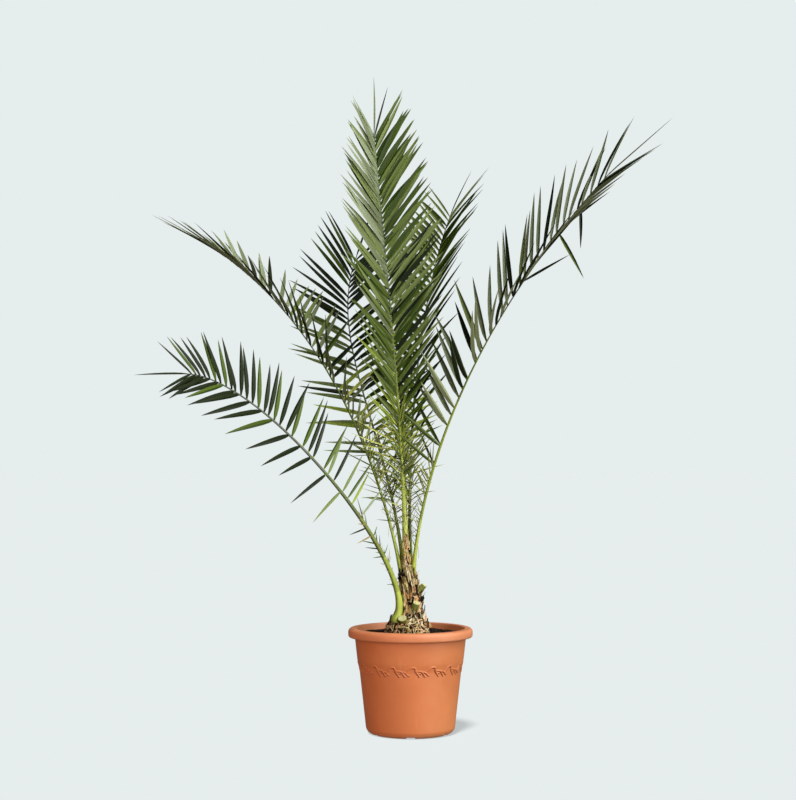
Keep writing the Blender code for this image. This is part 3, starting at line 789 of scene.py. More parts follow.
# %% [markdown]
# ## The stem
# Its skin follows the stem's own radius up its height. Old leaf bases wrap it in a spiral:
# each is a shallow pointed scale that stands out most at its upper edge. Noise stretched
# upwards gives the fibre ridges. The relief is in the mesh, so it also shows in outline.

# %% Stem skin
TRUNK_RINGS = (                 # height, centre x and radius
    (0.2623, -0.011, 0.060), (0.278, -0.010, 0.060), (0.294, -0.009, 0.055),
    (0.308, -0.006, 0.045), (0.322, -0.003, 0.036), (0.342, 0.000, 0.031),
    (0.365, 0.002, 0.0285), (0.390, 0.000, 0.0275), (0.412, -0.004, 0.0265),
    (0.430, -0.007, 0.0255), (0.442, -0.008, 0.0230),
)
TRUNK_TOP = TRUNK_RINGS[-1][0]
TRUNK_FOOT = TRUNK_RINGS[0][0]
SKIN_SIDES = 160
SKIN_ROWS = 130
SCALES = 22
SCALE_TURN = 137.5              # degrees from one old leaf base to the next
SCALE_STEP = 0.0072             # and metres up
SCALE_HEIGHT = 0.036
SCALE_PROUD = 0.0048            # how far the upper edge of one stands out
ROOT_TOP = 0.318                # the curled roots reach this high


def trunk_at(height):
    """Centre x and radius of the stem at a height."""
    rings = TRUNK_RINGS
    for (z0, x0, r0), (z1, x1, r1) in zip(rings, rings[1:]):
        if height <= z1:
            share = max(0.0, (height - z0) / (z1 - z0))
            return x0 + (x1 - x0) * share, r0 + (r1 - r0) * share
    return rings[-1][1], rings[-1][2]


def scale_relief(turn, height):
    """How far the old leaf bases stand out at one place, in metres."""
    best = 0.0
    for i in range(SCALES):
        off = (turn - math.radians(i * SCALE_TURN) + math.pi) % (2 * math.pi) - math.pi
        foot = TRUNK_FOOT + 0.004 + i * SCALE_STEP
        rise = (height - foot) / SCALE_HEIGHT
        width = 0.95 * (1 - 0.55 * max(rise, 0.0))
        if 0 < rise < 1 and abs(off) < width:
            best = max(best, rise * (1 - (off / width) ** 2) ** 0.5)
    return best * SCALE_PROUD


def on_trunk(turn, height, proud=0.0):
    """A point on the stem's skin, `proud` metres outside it."""
    centre, radius = trunk_at(height)
    across = level(turn)
    ribs = wobble(across.x * 9, across.y * 9, height * 26) * 0.0032
    fine = wobble(across.x * 34, across.y * 34, height * 70 + 5) * 0.0016
    reach = radius * 0.97 - 0.003 + scale_relief(turn, height) + ribs + fine + proud
    return Vector((centre, 0, height)) + across * reach


def build_stem():
    """The stem's skin from the soil to the crown."""
    pile = Pile()
    rings = []
    for row in range(SKIN_ROWS + 1):
        height = TRUNK_FOOT - 0.008 + (TRUNK_TOP - TRUNK_FOOT + 0.006) * row / SKIN_ROWS
        rings.append([on_trunk(turn, height) for turn in turns_of(SKIN_SIDES)])
    verts, faces = loft(rings)
    tones = []                  # patches of three tones, darkest down among the roots
    for face in faces:
        centre = sum((verts[i] for i in face), Vector()) / len(face)
        patch = wobble(centre.x * 90, centre.y * 90, centre.z * 34)
        patch -= 0.25 * (centre.z < ROOT_TOP)
        tones.append(BROWN if patch > 0.22 else DARK if patch > -0.06 else BLACK)
    pile.add(verts, faces, tones)
    return pile.build("Stem", fibres, "palm_fibre", ["Trunk"])


build_stem()

# %% [markdown]
# ## Dry strands
# Loose strands make the stem look alive. Near the soil they are curled dry roots that lie
# over one another. Higher up they run mostly upwards, and some tips lift away. A strand is
# a short walk over the skin: its direction drifts a little at each step.

# %% Strands
ROOT_CURLS = 230
STEM_FIBRES = 300
ONCE_ROUND = 6.28               # a full turn, for bearings drawn at random


def walk(rng, turn, height, steps, stride, heading, drift, lift):
    """Points of a strand that wanders over the stem's skin."""
    points = []
    proud = rng.uniform(0.0, 0.0035)
    for _ in range(steps):
        points.append(on_trunk(turn, height, proud))
        heading += rng.uniform(-drift, drift)
        radius = trunk_at(height)[1]
        turn += math.cos(heading) * stride / radius
        height = max(TRUNK_FOOT - 0.002, height + math.sin(heading) * stride)
        proud = max(0.0, proud + rng.uniform(-0.001, 0.001) + lift)
    return points


def build_strands():
    """Curled roots round the foot and upright fibres on the stem."""
    rng = Random(33)
    roots = Pile()
    for _ in range(ROOT_CURLS):
        height = TRUNK_FOOT + (ROOT_TOP - TRUNK_FOOT) * rng.random() ** 1.3
        points = walk(rng, rng.uniform(0, ONCE_ROUND), height, rng.randint(6, 13), 0.0042,
                      rng.uniform(0, ONCE_ROUND), 0.60, rng.choice((0.0, 0.0003, 0.0008)))
        radius = rng.uniform(0.0010, 0.0026)
        tone = rng.choice((TAN, PINK, PINK, BROWN, CREAM, BLACK, RUST, DARK, DARK, PINK))
        roots.add(*strand(points, radius, 0.5), tone)
    roots.build("Root_curls", fibres, "palm_fibre")
    stem = Pile()
    for _ in range(STEM_FIBRES):
        height = rng.uniform(0.300, TRUNK_TOP - 0.020)
        lift = 0.0 if rng.random() < 0.8 else rng.uniform(0.0006, 0.0016)
        points = walk(rng, rng.uniform(0, ONCE_ROUND), height, rng.randint(6, 12), 0.0045,
                      math.pi / 2 + rng.uniform(-0.5, 0.5), 0.22, lift)
        tone = rng.choice((BROWN, TAN, DARK, CREAM, RUST, BLACK, TAN, CREAM))
        stem.add(*strand(points, rng.uniform(0.0004, 0.0010), 0.3), tone)
    stem.build("Stem_fibres", fibres, "palm_fibre")


build_strands()

# %% [markdown]
# ## Greens
# Leaflets catch the light at hundreds of angles, and no two are the same green. So each
# leaflet is dealt one plain colour from a small set, and its underside a paler, duller one.
# The set carries painted light and shade: a pale grey-green that is partly painted sheen, and
# a darkest green that is painted shade. On a folded leaflet the darker greens get a lighter
# second half, painted light on one half of the fold. Within a finish there is only what a
# leaflet really has:
# a waxy, slightly uneven sheen and fine veins along it. The stalks go from yellow-green at
# the foot to a dull grey-green.

# %% Green finishes
VEIN_SHADE = 0.80               # how dark a vein or a rib is against its own colour


def shaded(colour):
    """The colour of a vein or a rib in a surface of `colour`."""
    return (*(part * VEIN_SHADE for part in colour[:3]), 1.0)


def leaf_finish(name, colour):
    """A waxy leaflet of one plain green with fine lengthwise veins."""
    paint = Finish(name)
    veins = paint.node("ShaderNodeTexCoord", {}, {}, "UV")
    scaled = {"operation": "MULTIPLY"}
    lengthwise = paint.node("ShaderNodeVectorMath", scaled, {0: veins, 1: (0.5, 5.0, 1.0)})
    vein = paint.noise(1.0, 1.0, 0.5, lengthwise)
    wax = paint.noise(60.0, 2.0, 0.5)
    paint.set(Base_Color=paint.mix(paint.mask(vein, 0.35, 0.70) * 0.35, colour, shaded(colour)))
    paint.set(Roughness=0.42 + wax * 0.14 - 0.07, Specular_IOR_Level=0.16)
    paint.bump(vein, 0.0002, 0.2)
    return paint


LEAF_COLOURS = {
    # Partly painted sheen: the pale grey-green dealt to rows that face the light.
    "Leaf_pale_sheen": (154, 166, 130),
    "Leaf_sage": (125, 140, 80),
    "Leaf_green": (93, 113, 42),
    "Leaf_deep": (47, 67, 7),
    # Painted shade: the darkest green, with Under_dark below it, dealt to leaflets in shade.
    "Leaf_dark_shade": (23, 34, 8),
    "Leaf_fresh": (155, 172, 66),
    "Leaf_yellow": (212, 217, 120),
    "Leaf_grey": (128, 138, 102),
    "Leaf_straw": (166, 146, 96),
    "Under_pale": (165, 175, 128),
    "Under_green": (96, 112, 58),
    "Under_dark": (38, 50, 20),
    # The lighter half of the darkest green: painted light.
    "Leaf_lit_half": (46, 55, 32),
}
leaves = [leaf_finish(name, rgb(*colour)) for name, colour in LEAF_COLOURS.items()]
PALE_SHEEN, SAGE, GREEN, DEEP, SHADE_GREEN, FRESH, YELLOW, GREY, STRAW = range(9)
UNDER_PALE, UNDER_GREEN, UNDER_DARK, LIT_HALF_GREEN = range(9, 13)
UNDERSIDE = {                   # the underside that goes with a green
    PALE_SHEEN: UNDER_PALE, SAGE: UNDER_PALE, FRESH: UNDER_PALE, GREY: UNDER_PALE,
    GREEN: UNDER_GREEN, DEEP: UNDER_GREEN, SHADE_GREEN: UNDER_DARK,
    YELLOW: YELLOW, STRAW: STRAW, LIT_HALF_GREEN: LIT_HALF_GREEN,
}
# Painted light: the lighter second half that a darker green gets on its folded leaflet.
LIT_HALVES = {SHADE_GREEN: LIT_HALF_GREEN, DEEP: GREEN, GREEN: SAGE}     # the second half of a dark one


def stalk_finish(name, colour):
    """A smooth, faintly ribbed leaf stalk with small brown scars."""
    paint = Finish(name)
    grain = paint.noise(1.0, 3.0, 0.6, paint.stretched(500.0, 500.0, 24.0))
    scars = paint.noise(110.0, 2.0, 0.5)
    streaked = paint.mix(paint.mask(grain, 0.40, 0.75), colour, shaded(colour))
    scarred = paint.mix(paint.mask(scars, 0.66, 0.74) * 0.5, streaked, rgb(88, 66, 34))
    paint.set(Base_Color=scarred)
    paint.set(Roughness=0.40 + grain * 0.15, Specular_IOR_Level=0.5)
    paint.bump(grain, 0.0004, 0.4)
    return paint


STALK_COLOURS = (               # eight along a stalk, then a stub's side, cut face, dry side
    (204, 216, 94), (190, 204, 82), (158, 172, 58), (124, 137, 50),
    (102, 114, 60), (104, 110, 90), (74, 80, 62), (38, 46, 30),
    (150, 156, 76), (214, 212, 152), (134, 130, 54),
)
STUB_SIDE, CUT_FACE, DRY_SIDE = 8, 9, 10
stalks = [stalk_finish(f"Stalk_{i}", rgb(*colour)) for i, colour in enumerate(STALK_COLOURS)]
print(len(leaves), "leaf and", len(stalks), "stalk finishes")

# %% [markdown]
# ## The rule that grows a frond
# Every frond grows by one rule. Its rib is a smooth arch, steered by four control points.
# Along it stand two rows of leaflets whose angle from the rib, lift out of the blade and
# length change from the blade's foot to its tip. A seeded random number moves each a little.

# %% The six fronds
SOCKET_DEPTH = 0.012
RIB_SIDES = 6
LEAF_WIDEST = 0.30              # where a plain leaflet is widest, as a share of its length
LEAF_FOLD = 0.16                # rise of its edges, as a share of its width
LEAF_THICK = 0.0105             # its thickness, as a share of its length
SPINE_THICK = 0.0016
LEAF_CLEAR = 0.0007             # room that a leaflet keeps to what stands already
RIB_TIP_RADIUS = 0.0013
RIB_TAPER = 1.1
FOOT_SHARE = 0.38               # part of a rib's foot radius that is its swelling
FOOT_FLARE = 0.06               # how far up the rib that swelling dies away
SPINE_PAIRS = 13
SPINE_ZONE = (0.30, 0.68)       # start and span of the spines along the bare stalk
SPINE_LENGTHS = (0.045, 0.165)
SPINE_WIDTHS = (0.0034, 0.0072)
ROW_SHIFT = 0.25                # how far one row is ahead of the other, in pairs
PAIR_JITTER = 0.18              # how unevenly the leaflets stand, in pairs
BLADE_END = 0.992               # where on the rib the last pair of leaflets stands
TIP_PLACE = 0.996               # and the single one at its tip

# A frond's fields: the arch's four control points; the bearing, in degrees, in which it leans;
# its foot's radius; the bare share of its rib; the size of its spines; its pairs of leaflets,
# their full length and width; four lists from the blade's foot to its tip, in degrees, of the
# leaflets' angle from the rib, their lift, the blade's roll and how far the rows differ; for
# each row its lengths and the share of leaflets it keeps; the tip leaflet's length and angle.
Frond = namedtuple("Frond", (
    "name", "arch", "bearing", "foot_radius", "bare", "spines", "pairs", "length", "width",
    "theta", "lift", "roll", "skew", "rows", "last", "seed",
))
FULL = (1.0, 1.0)               # a row that keeps every leaflet

FRONDS = (
    Frond(
        name="Frond_Centre", seed=11, bearing=95,
        arch=(
            (-0.0125, -0.010, 0.495), (-0.025, -0.005, 0.916),
            (-0.071, 0.070, 1.316), (-0.104, 0.250, 1.686),
        ),
        foot_radius=0.0068, bare=0.25, spines=1.0,
        pairs=62, length=0.234, width=0.0145,
        theta=(40, 42, 25), lift=(22, 20, 14), roll=(10, 10, 12), skew=(-1, -1, -2),
        rows=(
            ((0.54, 0.80, 0.88, 0.82, 0.66), FULL),
            ((0.60, 0.90, 1.00, 1.00, 0.82), FULL),
        ),
        last=(0.95, -6),
    ),
    Frond(
        name="Frond_Lower_Left", seed=12, bearing=207,
        arch=(
            (-0.032, -0.021, 0.315), (0.010, -0.045, 0.482),
            (-0.401, -0.160, 0.971), (-0.577, -0.310, 0.970),
        ),
        foot_radius=0.0125, bare=0.37, spines=0.45,
        pairs=34, length=0.198, width=0.0145,
        theta=(89, 64, 38), lift=(2, 2, 2), roll=(-62, -72, -62), skew=(6, -11, -7),
        rows=(
            ((0.72, 0.80, 0.80, 0.77, 0.72), (0.0, 0.42, 0.45, 0.6, 1.0)),
            ((0.76, 0.90, 0.85, 0.73, 0.64), (0.7, 0.75, 0.9, 1.0, 1.0)),
        ),
        last=(0.83, 1),
    ),
    Frond(
        name="Frond_Right", seed=13, bearing=345,
        arch=(
            (0.0065, -0.004, 0.440), (0.042, -0.020, 0.836),
            (0.256, -0.070, 1.219), (0.533, -0.140, 1.515),
        ),
        foot_radius=0.0062, bare=0.25, spines=0.7,
        pairs=33, length=0.235, width=0.0130,
        theta=(70, 51, 27), lift=(46, 28, 6), roll=(12, 28, 45), skew=(0, 0, 0),
        rows=(
            ((0.80, 1.05, 1.08, 1.00, 0.88), (0.6, 0.7, 0.9, 1.0, 1.0)),
            ((0.80, 1.05, 1.02, 0.95, 0.85), (0.5, 0.6, 0.8, 1.0, 1.0)),
        ),
        last=(0.96, -12),
    ),
    Frond(
        name="Frond_Upper_Left", seed=14, bearing=162,
        arch=(
            (-0.025, -0.002, 0.440), (-0.100, 0.010, 0.815),
            (-0.275, 0.090, 1.160), (-0.571, 0.200, 1.354),
        ),
        foot_radius=0.0060, bare=0.33, spines=1.0,
        pairs=34, length=0.205, width=0.0130,
        theta=(70, 62, 23), lift=(36, 34, 3), roll=(0, 0, 0), skew=(0, 0, 0),
        rows=(
            ((0.70, 0.90, 0.95, 0.90, 1.00), (0.8, 0.8, 0.9, 1.0, 1.0)),
            ((0.70, 0.90, 0.95, 0.90, 1.00), (0.7, 0.7, 0.8, 1.0, 1.0)),
        ),
        last=(1.00, 1),
    ),
    Frond(
        name="Frond_Back_Left", seed=15, bearing=106,
        arch=(
            (-0.018, 0.012, 0.440), (-0.058, 0.090, 0.840),
            (-0.246, 0.280, 1.081), (-0.157, 0.400, 1.345),
        ),
        foot_radius=0.0050, bare=0.30, spines=1.0,
        pairs=33, length=0.235, width=0.0160,
        theta=(82, 63, 33), lift=(16, 14, 12), roll=(0, -5, -10), skew=(2, 2, 2),
        rows=(
            ((0.78, 0.84, 0.87, 0.88, 0.80), (0.8, 0.75, 0.75, 0.9, 1.0)),
            ((0.80, 0.93, 0.97, 0.95, 0.80), (0.9, 1.0)),
        ),
        last=(0.80, 1),
    ),
    Frond(
        name="Frond_Back_Right", seed=16, bearing=68,
        arch=(
            (0.001, 0.014, 0.440), (-0.014, 0.050, 0.806),
            (0.025, 0.150, 1.204), (0.123, 0.340, 1.467),
        ),
        foot_radius=0.0050, bare=0.28, spines=1.0,
        pairs=40, length=0.205, width=0.0120,
        theta=(44, 51, 36), lift=(22, 22, 16), roll=(-10, -14, -16), skew=(0, 5, 2),
        rows=(
            ((0.65, 0.90, 1.00, 0.95, 0.85), FULL),
            ((0.65, 0.90, 1.00, 0.95, 0.88), (0.5, 0.5, 0.6, 0.8, 1.0)),
        ),
        last=(0.95, -3),
    ),
)
Leaf = namedtuple("Leaf", "root along face length width wish")     # one that has its place
print(len(FRONDS), "fronds")


# %% Arch, blade and leaflet rule
def arch_point(arch, t):
    """Point of a cubic Bezier arch."""
    a, b, c, d = (Vector(point) for point in arch)
    s = 1 - t
    return a * s ** 3 + b * 3 * s * s * t + c * 3 * s * t * t + d * t ** 3


def arch_heading(arch, t):
    """Unit tangent of a cubic Bezier arch."""
    a, b, c, d = (Vector(point) for point in arch)
    s = 1 - t
    return ((b - a) * s * s + (c - b) * 2 * s * t + (d - c) * t * t).normalized()


def rib_radius(frond, t):
    """Radius of the petiole and rib, swollen at the foot and fine at the tip."""
    slim = frond.foot_radius * (1 - FOOT_SHARE)
    taper = RIB_TIP_RADIUS + (slim - RIB_TIP_RADIUS) * (1 - t) ** RIB_TAPER
    return taper + frond.foot_radius * FOOT_SHARE * math.exp(-t / FOOT_FLARE)


def blade_frame(frond, t, share):
    """Along, across and upper-face directions of the blade at one place on its rib."""
    outward = level(math.radians(frond.bearing))
    along = arch_heading(frond.arch, t)
    sideways = Vector((-outward.y, outward.x, 0))
    upper = sideways.cross(along)
    if upper.dot(Vector((0, 0, 1)) - outward * 0.4) < 0:
        upper.negate()
    upper.normalize()
    across = upper.cross(along).normalized()
    roll = math.radians(blend(frond.roll, share))
    turned = across * math.cos(roll) + upper * math.sin(roll)
    return along, turned, upper * math.cos(roll) - across * math.sin(roll)


def leaf_direction(frame, side, theta, lift):
    """Unit direction of a leaflet; angles in degrees."""
    along, across, upper = frame
    theta, lift = math.radians(theta), math.radians(lift)
    spread = across * (side * math.cos(lift)) + upper * math.sin(lift)
    return (along * math.cos(theta) + spread * math.sin(theta)).normalized()


def plan_leaves(frond):
    """Every leaflet and spine that the rule asks for, before any clash is looked at."""
    rng = Random(frond.seed)
    wishes = []                 # place, side, angle, lift, length and width of each
    for pair in range(SPINE_PAIRS):
        for side in (1, -1):
            share = (pair + rng.random()) / SPINE_PAIRS
            t = frond.bare * (SPINE_ZONE[0] + SPINE_ZONE[1] * share)
            length = frond.spines * blend(SPINE_LENGTHS, share)
            wishes.append((
                t, side, rng.uniform(35, 80), frond.lift[0] + rng.uniform(-30, 30),
                length * rng.uniform(0.7, 1.15), blend(SPINE_WIDTHS, share),
            ))
    due = [0.5, 0.5]            # a row grows a leaflet each time that its count reaches one
    for pair in range(frond.pairs):
        for row, side in enumerate((1, -1)):
            place = pair + ROW_SHIFT * (side > 0) + rng.uniform(-PAIR_JITTER, PAIR_JITTER)
            share = place / (frond.pairs - 0.3)
            share = min(max(share, 0.0), 1.0)
            turn, tilt, vary = rng.uniform(-5, 5), rng.uniform(-7, 7), rng.uniform(0.92, 1.06)
            sizes, kept = frond.rows[row]
            due[row] += blend(kept, share)
            if due[row] < 1.0:
                continue
            due[row] -= 1.0
            size = blend(sizes, share)
            wishes.append((
                frond.bare + (BLADE_END - frond.bare) * share, side,
                blend(frond.theta, share) + side * blend(frond.skew, share) + turn,
                blend(frond.lift, share) + tilt,
                frond.length * size * vary,
                frond.width * (0.75 + 0.25 * size),
            ))
    size, theta = frond.last
    wishes.append((TIP_PLACE, 1, theta, 0.0, frond.length * size, frond.width * 0.8))
    return wishes


def make_leaf(frond, wish, turn=0.0, tilt=0.0, scale=1.0):
    """The leaf of one wish, turned, tilted or shortened as asked."""
    t, side, theta, lift, length, width = wish
    share = max(0.0, (t - frond.bare) / (1 - frond.bare))
    frame = blade_frame(frond, t, share)
    along = leaf_direction(frame, side, theta + turn, lift + tilt)
    raised = math.radians(lift + tilt)
    face = frame[2] * math.cos(raised) - frame[1] * (side * math.sin(raised))
    face = (face - along * face.dot(along)).normalized()
    return Leaf(arch_point(frond.arch, t), along, face, length * scale, width, wish)


# %% [markdown]
# ## Leaflets make room for each other
# A leaflet that would pass through another frond turns away, is made shorter or is left
# out. To find that out, each is tested as a plain eight-faced shape against a search tree of
# what stands already: the pot, the stem, the other ribs and the fronds grown before.

# %% Clash rule
DODGES = (                      # turn and tilt in degrees and scale, tried in this order
    (0, 0, 1.0), (0, 12, 1.0), (-9, 0, 1.0), (9, 0, 1.0), (0, -14, 1.0), (-9, 14, 1.0),
    (0, 26, 1.0), (-18, 0, 1.0), (0, 0, 0.75), (-12, 20, 0.8), (10, -20, 0.8), (0, 0, 0.5),
    (-20, 30, 0.6),
)
RIB_STATIONS = (0.0, 0.02, 0.045, 0.075, 0.11, 0.15, 0.20, 0.26)
UPPER_STATIONS = 9              # evenly spaced ones above those


def plain_leaf(leaf, grow=0.0):
    """Eight faces: a root inside the rib, a folded waist and a sharp tip."""
    side = leaf.along.cross(leaf.face)
    waist = leaf.root + leaf.along * (leaf.length * LEAF_WIDEST)
    half = leaf.width / 2 + grow
    thick = max(leaf.length * LEAF_THICK, SPINE_THICK)
    edge = leaf.face * (leaf.width * LEAF_FOLD)
    verts = [
        leaf.root,
        waist + side * half + edge,
        waist + leaf.face * (thick / 2 + grow),
        waist - side * half + edge,
        waist - leaf.face * (thick / 2 + grow),
        leaf.root + leaf.along * (leaf.length + grow),
    ]
    faces = []
    for i in range(4):
        k = 1 + (i + 1) % 4
        faces.append((0, k, 1 + i))
        faces.append((1 + i, k, 5))
    return verts, faces


def plain_rib(frond):
    """The rib as a six-sided tube, a little thicker than it is."""
    foot = Vector(frond.arch[0]) - arch_heading(frond.arch, 0) * SOCKET_DEPTH
    stations = list(RIB_STATIONS)
    stations += [0.26 + 0.74 * i / UPPER_STATIONS for i in range(1, UPPER_STATIONS + 1)]
    centres = [foot] + [arch_point(frond.arch, t) for t in stations]
    radii = [rib_radius(frond, 0)] + [rib_radius(frond, t) for t in stations]
    rings = []
    guide = Vector((0, 1, 0))
    for i, centre in enumerate(centres):
        along = (centres[min(i + 1, len(centres) - 1)] - centres[max(i - 1, 0)]).normalized()
        across = along.cross(guide).normalized()
        guide = across.cross(along).normalized()
        rings.append(hoop(centre, across, guide, radii[i] + LEAF_CLEAR, RIB_SIDES))
    return loft(rings)


def merged(solids):
    """One search tree of several closed solids."""
    verts, faces = [], []
    for solid_verts, solid_faces in solids:
        start = len(verts)
        verts += solid_verts
        faces += [tuple(start + index for index in face) for face in solid_faces]
    return BVHTree.FromPolygons(verts, faces)


def node_solid(name):
    """Points and faces of one solid of the frame."""
    mesh = frame["nodes"][name].data
    return [v.co.copy() for v in mesh.vertices], [tuple(p.vertices) for p in mesh.polygons]


def grow_leaves(frond, obstacles):
    """The leaves of a frond that find room among the obstacles."""
    kept = []
    for wish in plan_leaves(frond):
        for turn, tilt, scale in DODGES:
            leaf = make_leaf(frond, wish, turn, tilt, scale)
            probe = BVHTree.FromPolygons(*plain_leaf(leaf, LEAF_CLEAR))
            if not any(obstacle.overlap(probe) for obstacle in obstacles):
                kept.append(leaf)
                break
    return kept


def grow_crown():
    """The leaves of all fronds, each frond clear of the ones before it."""
    ribs = {frond.name: plain_rib(frond) for frond in FRONDS}
    placed = [merged([node_solid(name) for name in ("Pot", "Soil", "Trunk", "Spear")])]
    crown = {}
    for frond in FRONDS:
        others = merged([rib for name, rib in ribs.items() if name != frond.name])
        crown[frond.name] = grow_leaves(frond, placed + [others])
        placed.append(merged([plain_leaf(leaf) for leaf in crown[frond.name]]))
    return crown


crown = grow_crown()
print({name: len(grown) for name, grown in crown.items()})

# %% [markdown]
# ## A real leaflet
# A date palm's leaflet is folded up along its middle like a gutter, tightly at its foot and
# almost flat towards its needle tip, and it bends a little under its own weight. Each is a
# thin closed skin: eight cross-sections of four points, then the tip. Its heel, where it
# joins the rib, is thick and often yellow-green.

# %% Leaflet shape
STATIONS = (0.0, 0.04, 0.12, 0.26, 0.44, 0.62, 0.78, 0.91)      # share of the length
WIDTHS = (0.30, 0.46, 0.80, 1.00, 0.97, 0.80, 0.54, 0.27)       # share of the full width
FOLDS = (0.90, 0.84, 0.74, 0.64, 0.56, 0.48, 0.40, 0.30)        # rise of the edges
THICKS = (0.0024, 0.0019, 0.0011, 0.0009, 0.0008, 0.0007, 0.0006, 0.0005)
HEEL_SPANS = 1                  # how many spans from the rib the heel takes up
SPINE_FOLD = 1.2                # a spine is folded more tightly than a leaflet
LEAF_CREASE = 22                # degrees from which a leaflet's edges show sharp


def leaflet(leaf, bow, sway, sag, fold=1.0):
    """Points, faces and vein places of one leaflet, bent by shares of its own length."""
    side = leaf.along.cross(leaf.face)
    verts, places = [], []
    for share, width, crease, thick in zip(STATIONS, WIDTHS, FOLDS, THICKS):
        bend = leaf.length * share * share
        centre = leaf.root + leaf.along * (leaf.length * share)
        centre += leaf.face * (bow * bend) + side * (sway * bend) - Vector((0, 0, sag * bend))
        half = leaf.width * width / 2
        rise = leaf.face * (half * crease * fold)
        verts += [centre - side * half + rise, centre, centre + side * half + rise]
        verts.append(centre - leaf.face * thick)
        places += [(share, 0.0), (share, 0.5), (share, 1.0), (share, 0.5)]
    tip = leaf.root + leaf.along * leaf.length + leaf.face * (bow * leaf.length)
    verts.append(tip + side * (sway * leaf.length) - Vector((0, 0, sag * leaf.length)))
    places.append((1.0, 0.5))
    faces = [(3, 2, 1, 0)]
    for span in range(len(STATIONS) - 1):
        low = span * 4
        for k in range(4):
            n = (k + 1) % 4
            faces.append((low + k, low + n, low + 4 + n, low + 4 + k))
    low = (len(STATIONS) - 1) * 4
    faces += [(low + k, low + (k + 1) % 4, low + 4) for k in range(4)]
    return verts, faces, places


def put_leaflet(pile, shape, upper, heel=None):
    """Add a leaflet in its greens: the heel, then two upper and two lower halves, each pair with a
    painted-light lighter half for darker greens.
    """
    verts, faces, places = shape
    heel = upper if heel is None else heel
    lit = LIT_HALVES.get(upper, upper)
    halves = [upper, lit, UNDERSIDE[upper], UNDERSIDE[lit]]
    tones = [heel] * (1 + 4 * HEEL_SPANS) + halves * (len(STATIONS) - HEEL_SPANS)
    pile.add(verts, faces, tones, places)


# %% [markdown]
# ## Dealing out greens and breadths
# Leaflets near the foot of a blade are young, narrow and yellow-green. Further up, the greens
# carry painted light and shade: rows that face the light get pale sheen greens, fronds and
# rows in shade the darkest greens. So each frond has its own small hand of greens for the
# foot, the middle and the tip of its blade, and its own list of how wide the leaflets are
# along it.

# %% Greens and breadths
# Greens dealt out per frond: for the row on the +across side and for the other row, at the
# blade's foot, middle and tip. A green that is named twice comes up twice as often.
DEALS = {
    "Frond_Centre": (
        (
            (FRESH, GREEN, SAGE, DEEP),
            (SAGE, GREEN, SAGE, GREY, DEEP),
            (PALE_SHEEN, SAGE, PALE_SHEEN, GREY, GREY),
        ),
        (
            (FRESH, GREEN, DEEP, SHADE_GREEN),
            (GREEN, DEEP, SAGE, SHADE_GREEN),
            (GREEN, DEEP, GREEN, SAGE, DEEP, DEEP),
        ),
    ),
    "Frond_Lower_Left": (
        (
            (FRESH, SAGE, GREEN),
            (SHADE_GREEN, SHADE_GREEN, DEEP, SHADE_GREEN),
            (SHADE_GREEN, SHADE_GREEN, SHADE_GREEN, DEEP),
        ),
        (
            (FRESH, SAGE, DEEP, PALE_SHEEN),
            (SHADE_GREEN, DEEP, SHADE_GREEN, SHADE_GREEN),
            (SHADE_GREEN, SHADE_GREEN, SHADE_GREEN, DEEP),
        ),
    ),
    "Frond_Right": (
        ((FRESH, YELLOW, PALE_SHEEN, GREEN), (SHADE_GREEN, SAGE, PALE_SHEEN, GREY), (SHADE_GREEN, GREY, PALE_SHEEN)),
        ((FRESH, SAGE, PALE_SHEEN, DEEP), (SHADE_GREEN, GREY, PALE_SHEEN), (SHADE_GREEN, GREY, PALE_SHEEN, SHADE_GREEN)),
    ),
    "Frond_Upper_Left": (
        ((FRESH, GREEN, SAGE, YELLOW), (SHADE_GREEN, SAGE, GREY, DEEP), (SHADE_GREEN, GREY, PALE_SHEEN)),
        ((FRESH, DEEP, YELLOW), (SHADE_GREEN, DEEP, SAGE, GREY), (PALE_SHEEN, GREY, SHADE_GREEN)),
    ),
    "Frond_Back_Left": (
        ((SAGE, FRESH, GREEN, GREY), (SHADE_GREEN, SAGE, GREEN), (SHADE_GREEN, SHADE_GREEN, DEEP)),
        ((GREEN, FRESH, PALE_SHEEN, DEEP), (SHADE_GREEN, DEEP, SAGE), (SHADE_GREEN, SHADE_GREEN)),
    ),
    "Frond_Back_Right": (
        ((GREEN, FRESH, YELLOW), (DEEP, GREEN), (GREEN, SAGE, SAGE, DEEP)),
        ((DEEP, FRESH, GREEN), (DEEP, SHADE_GREEN, GREEN), (GREEN, DEEP, SAGE)),
    ),
}
BREADTHS = {                    # how wide the leaflets are along a blade, against the plain rule
    "Frond_Centre": (0.42, 0.62, 0.85, 1.0, 1.0, 1.0, 1.04, 1.06, 1.08, 1.12, 0.45),
    "Frond_Lower_Left": (0.50, 0.60, 0.72, 0.86, 0.97, 1.02, 1.04, 1.0, 0.96, 0.92, 0.50),
    "Frond_Right": (0.70, 1.10, 1.30, 1.30, 1.25, 1.15, 1.05, 1.0, 1.0, 1.0, 0.45),
    "Frond_Upper_Left": (0.42, 0.62, 0.85, 1.0, 1.0, 1.0, 1.0, 1.1, 1.2, 1.2, 0.50),
    "Frond_Back_Left": (0.62, 0.86, 0.98, 1.0, 0.95, 0.9, 0.9, 0.9, 0.9, 0.9, 0.45),
    "Frond_Back_Right": (0.60, 0.95, 1.14, 1.2, 1.2, 1.2, 1.2, 1.2, 1.15, 1.0, 0.45),
}
SPINE_DEALS = (                 # spines near the foot, higher and next to the blade
    (SHADE_GREEN, DEEP, STRAW, GREY), (FRESH, GREY, YELLOW, SAGE, YELLOW), (YELLOW, FRESH, YELLOW),
)
STRONG_SPINES = 0.6             # only fronds with larger spines have pale ones up high
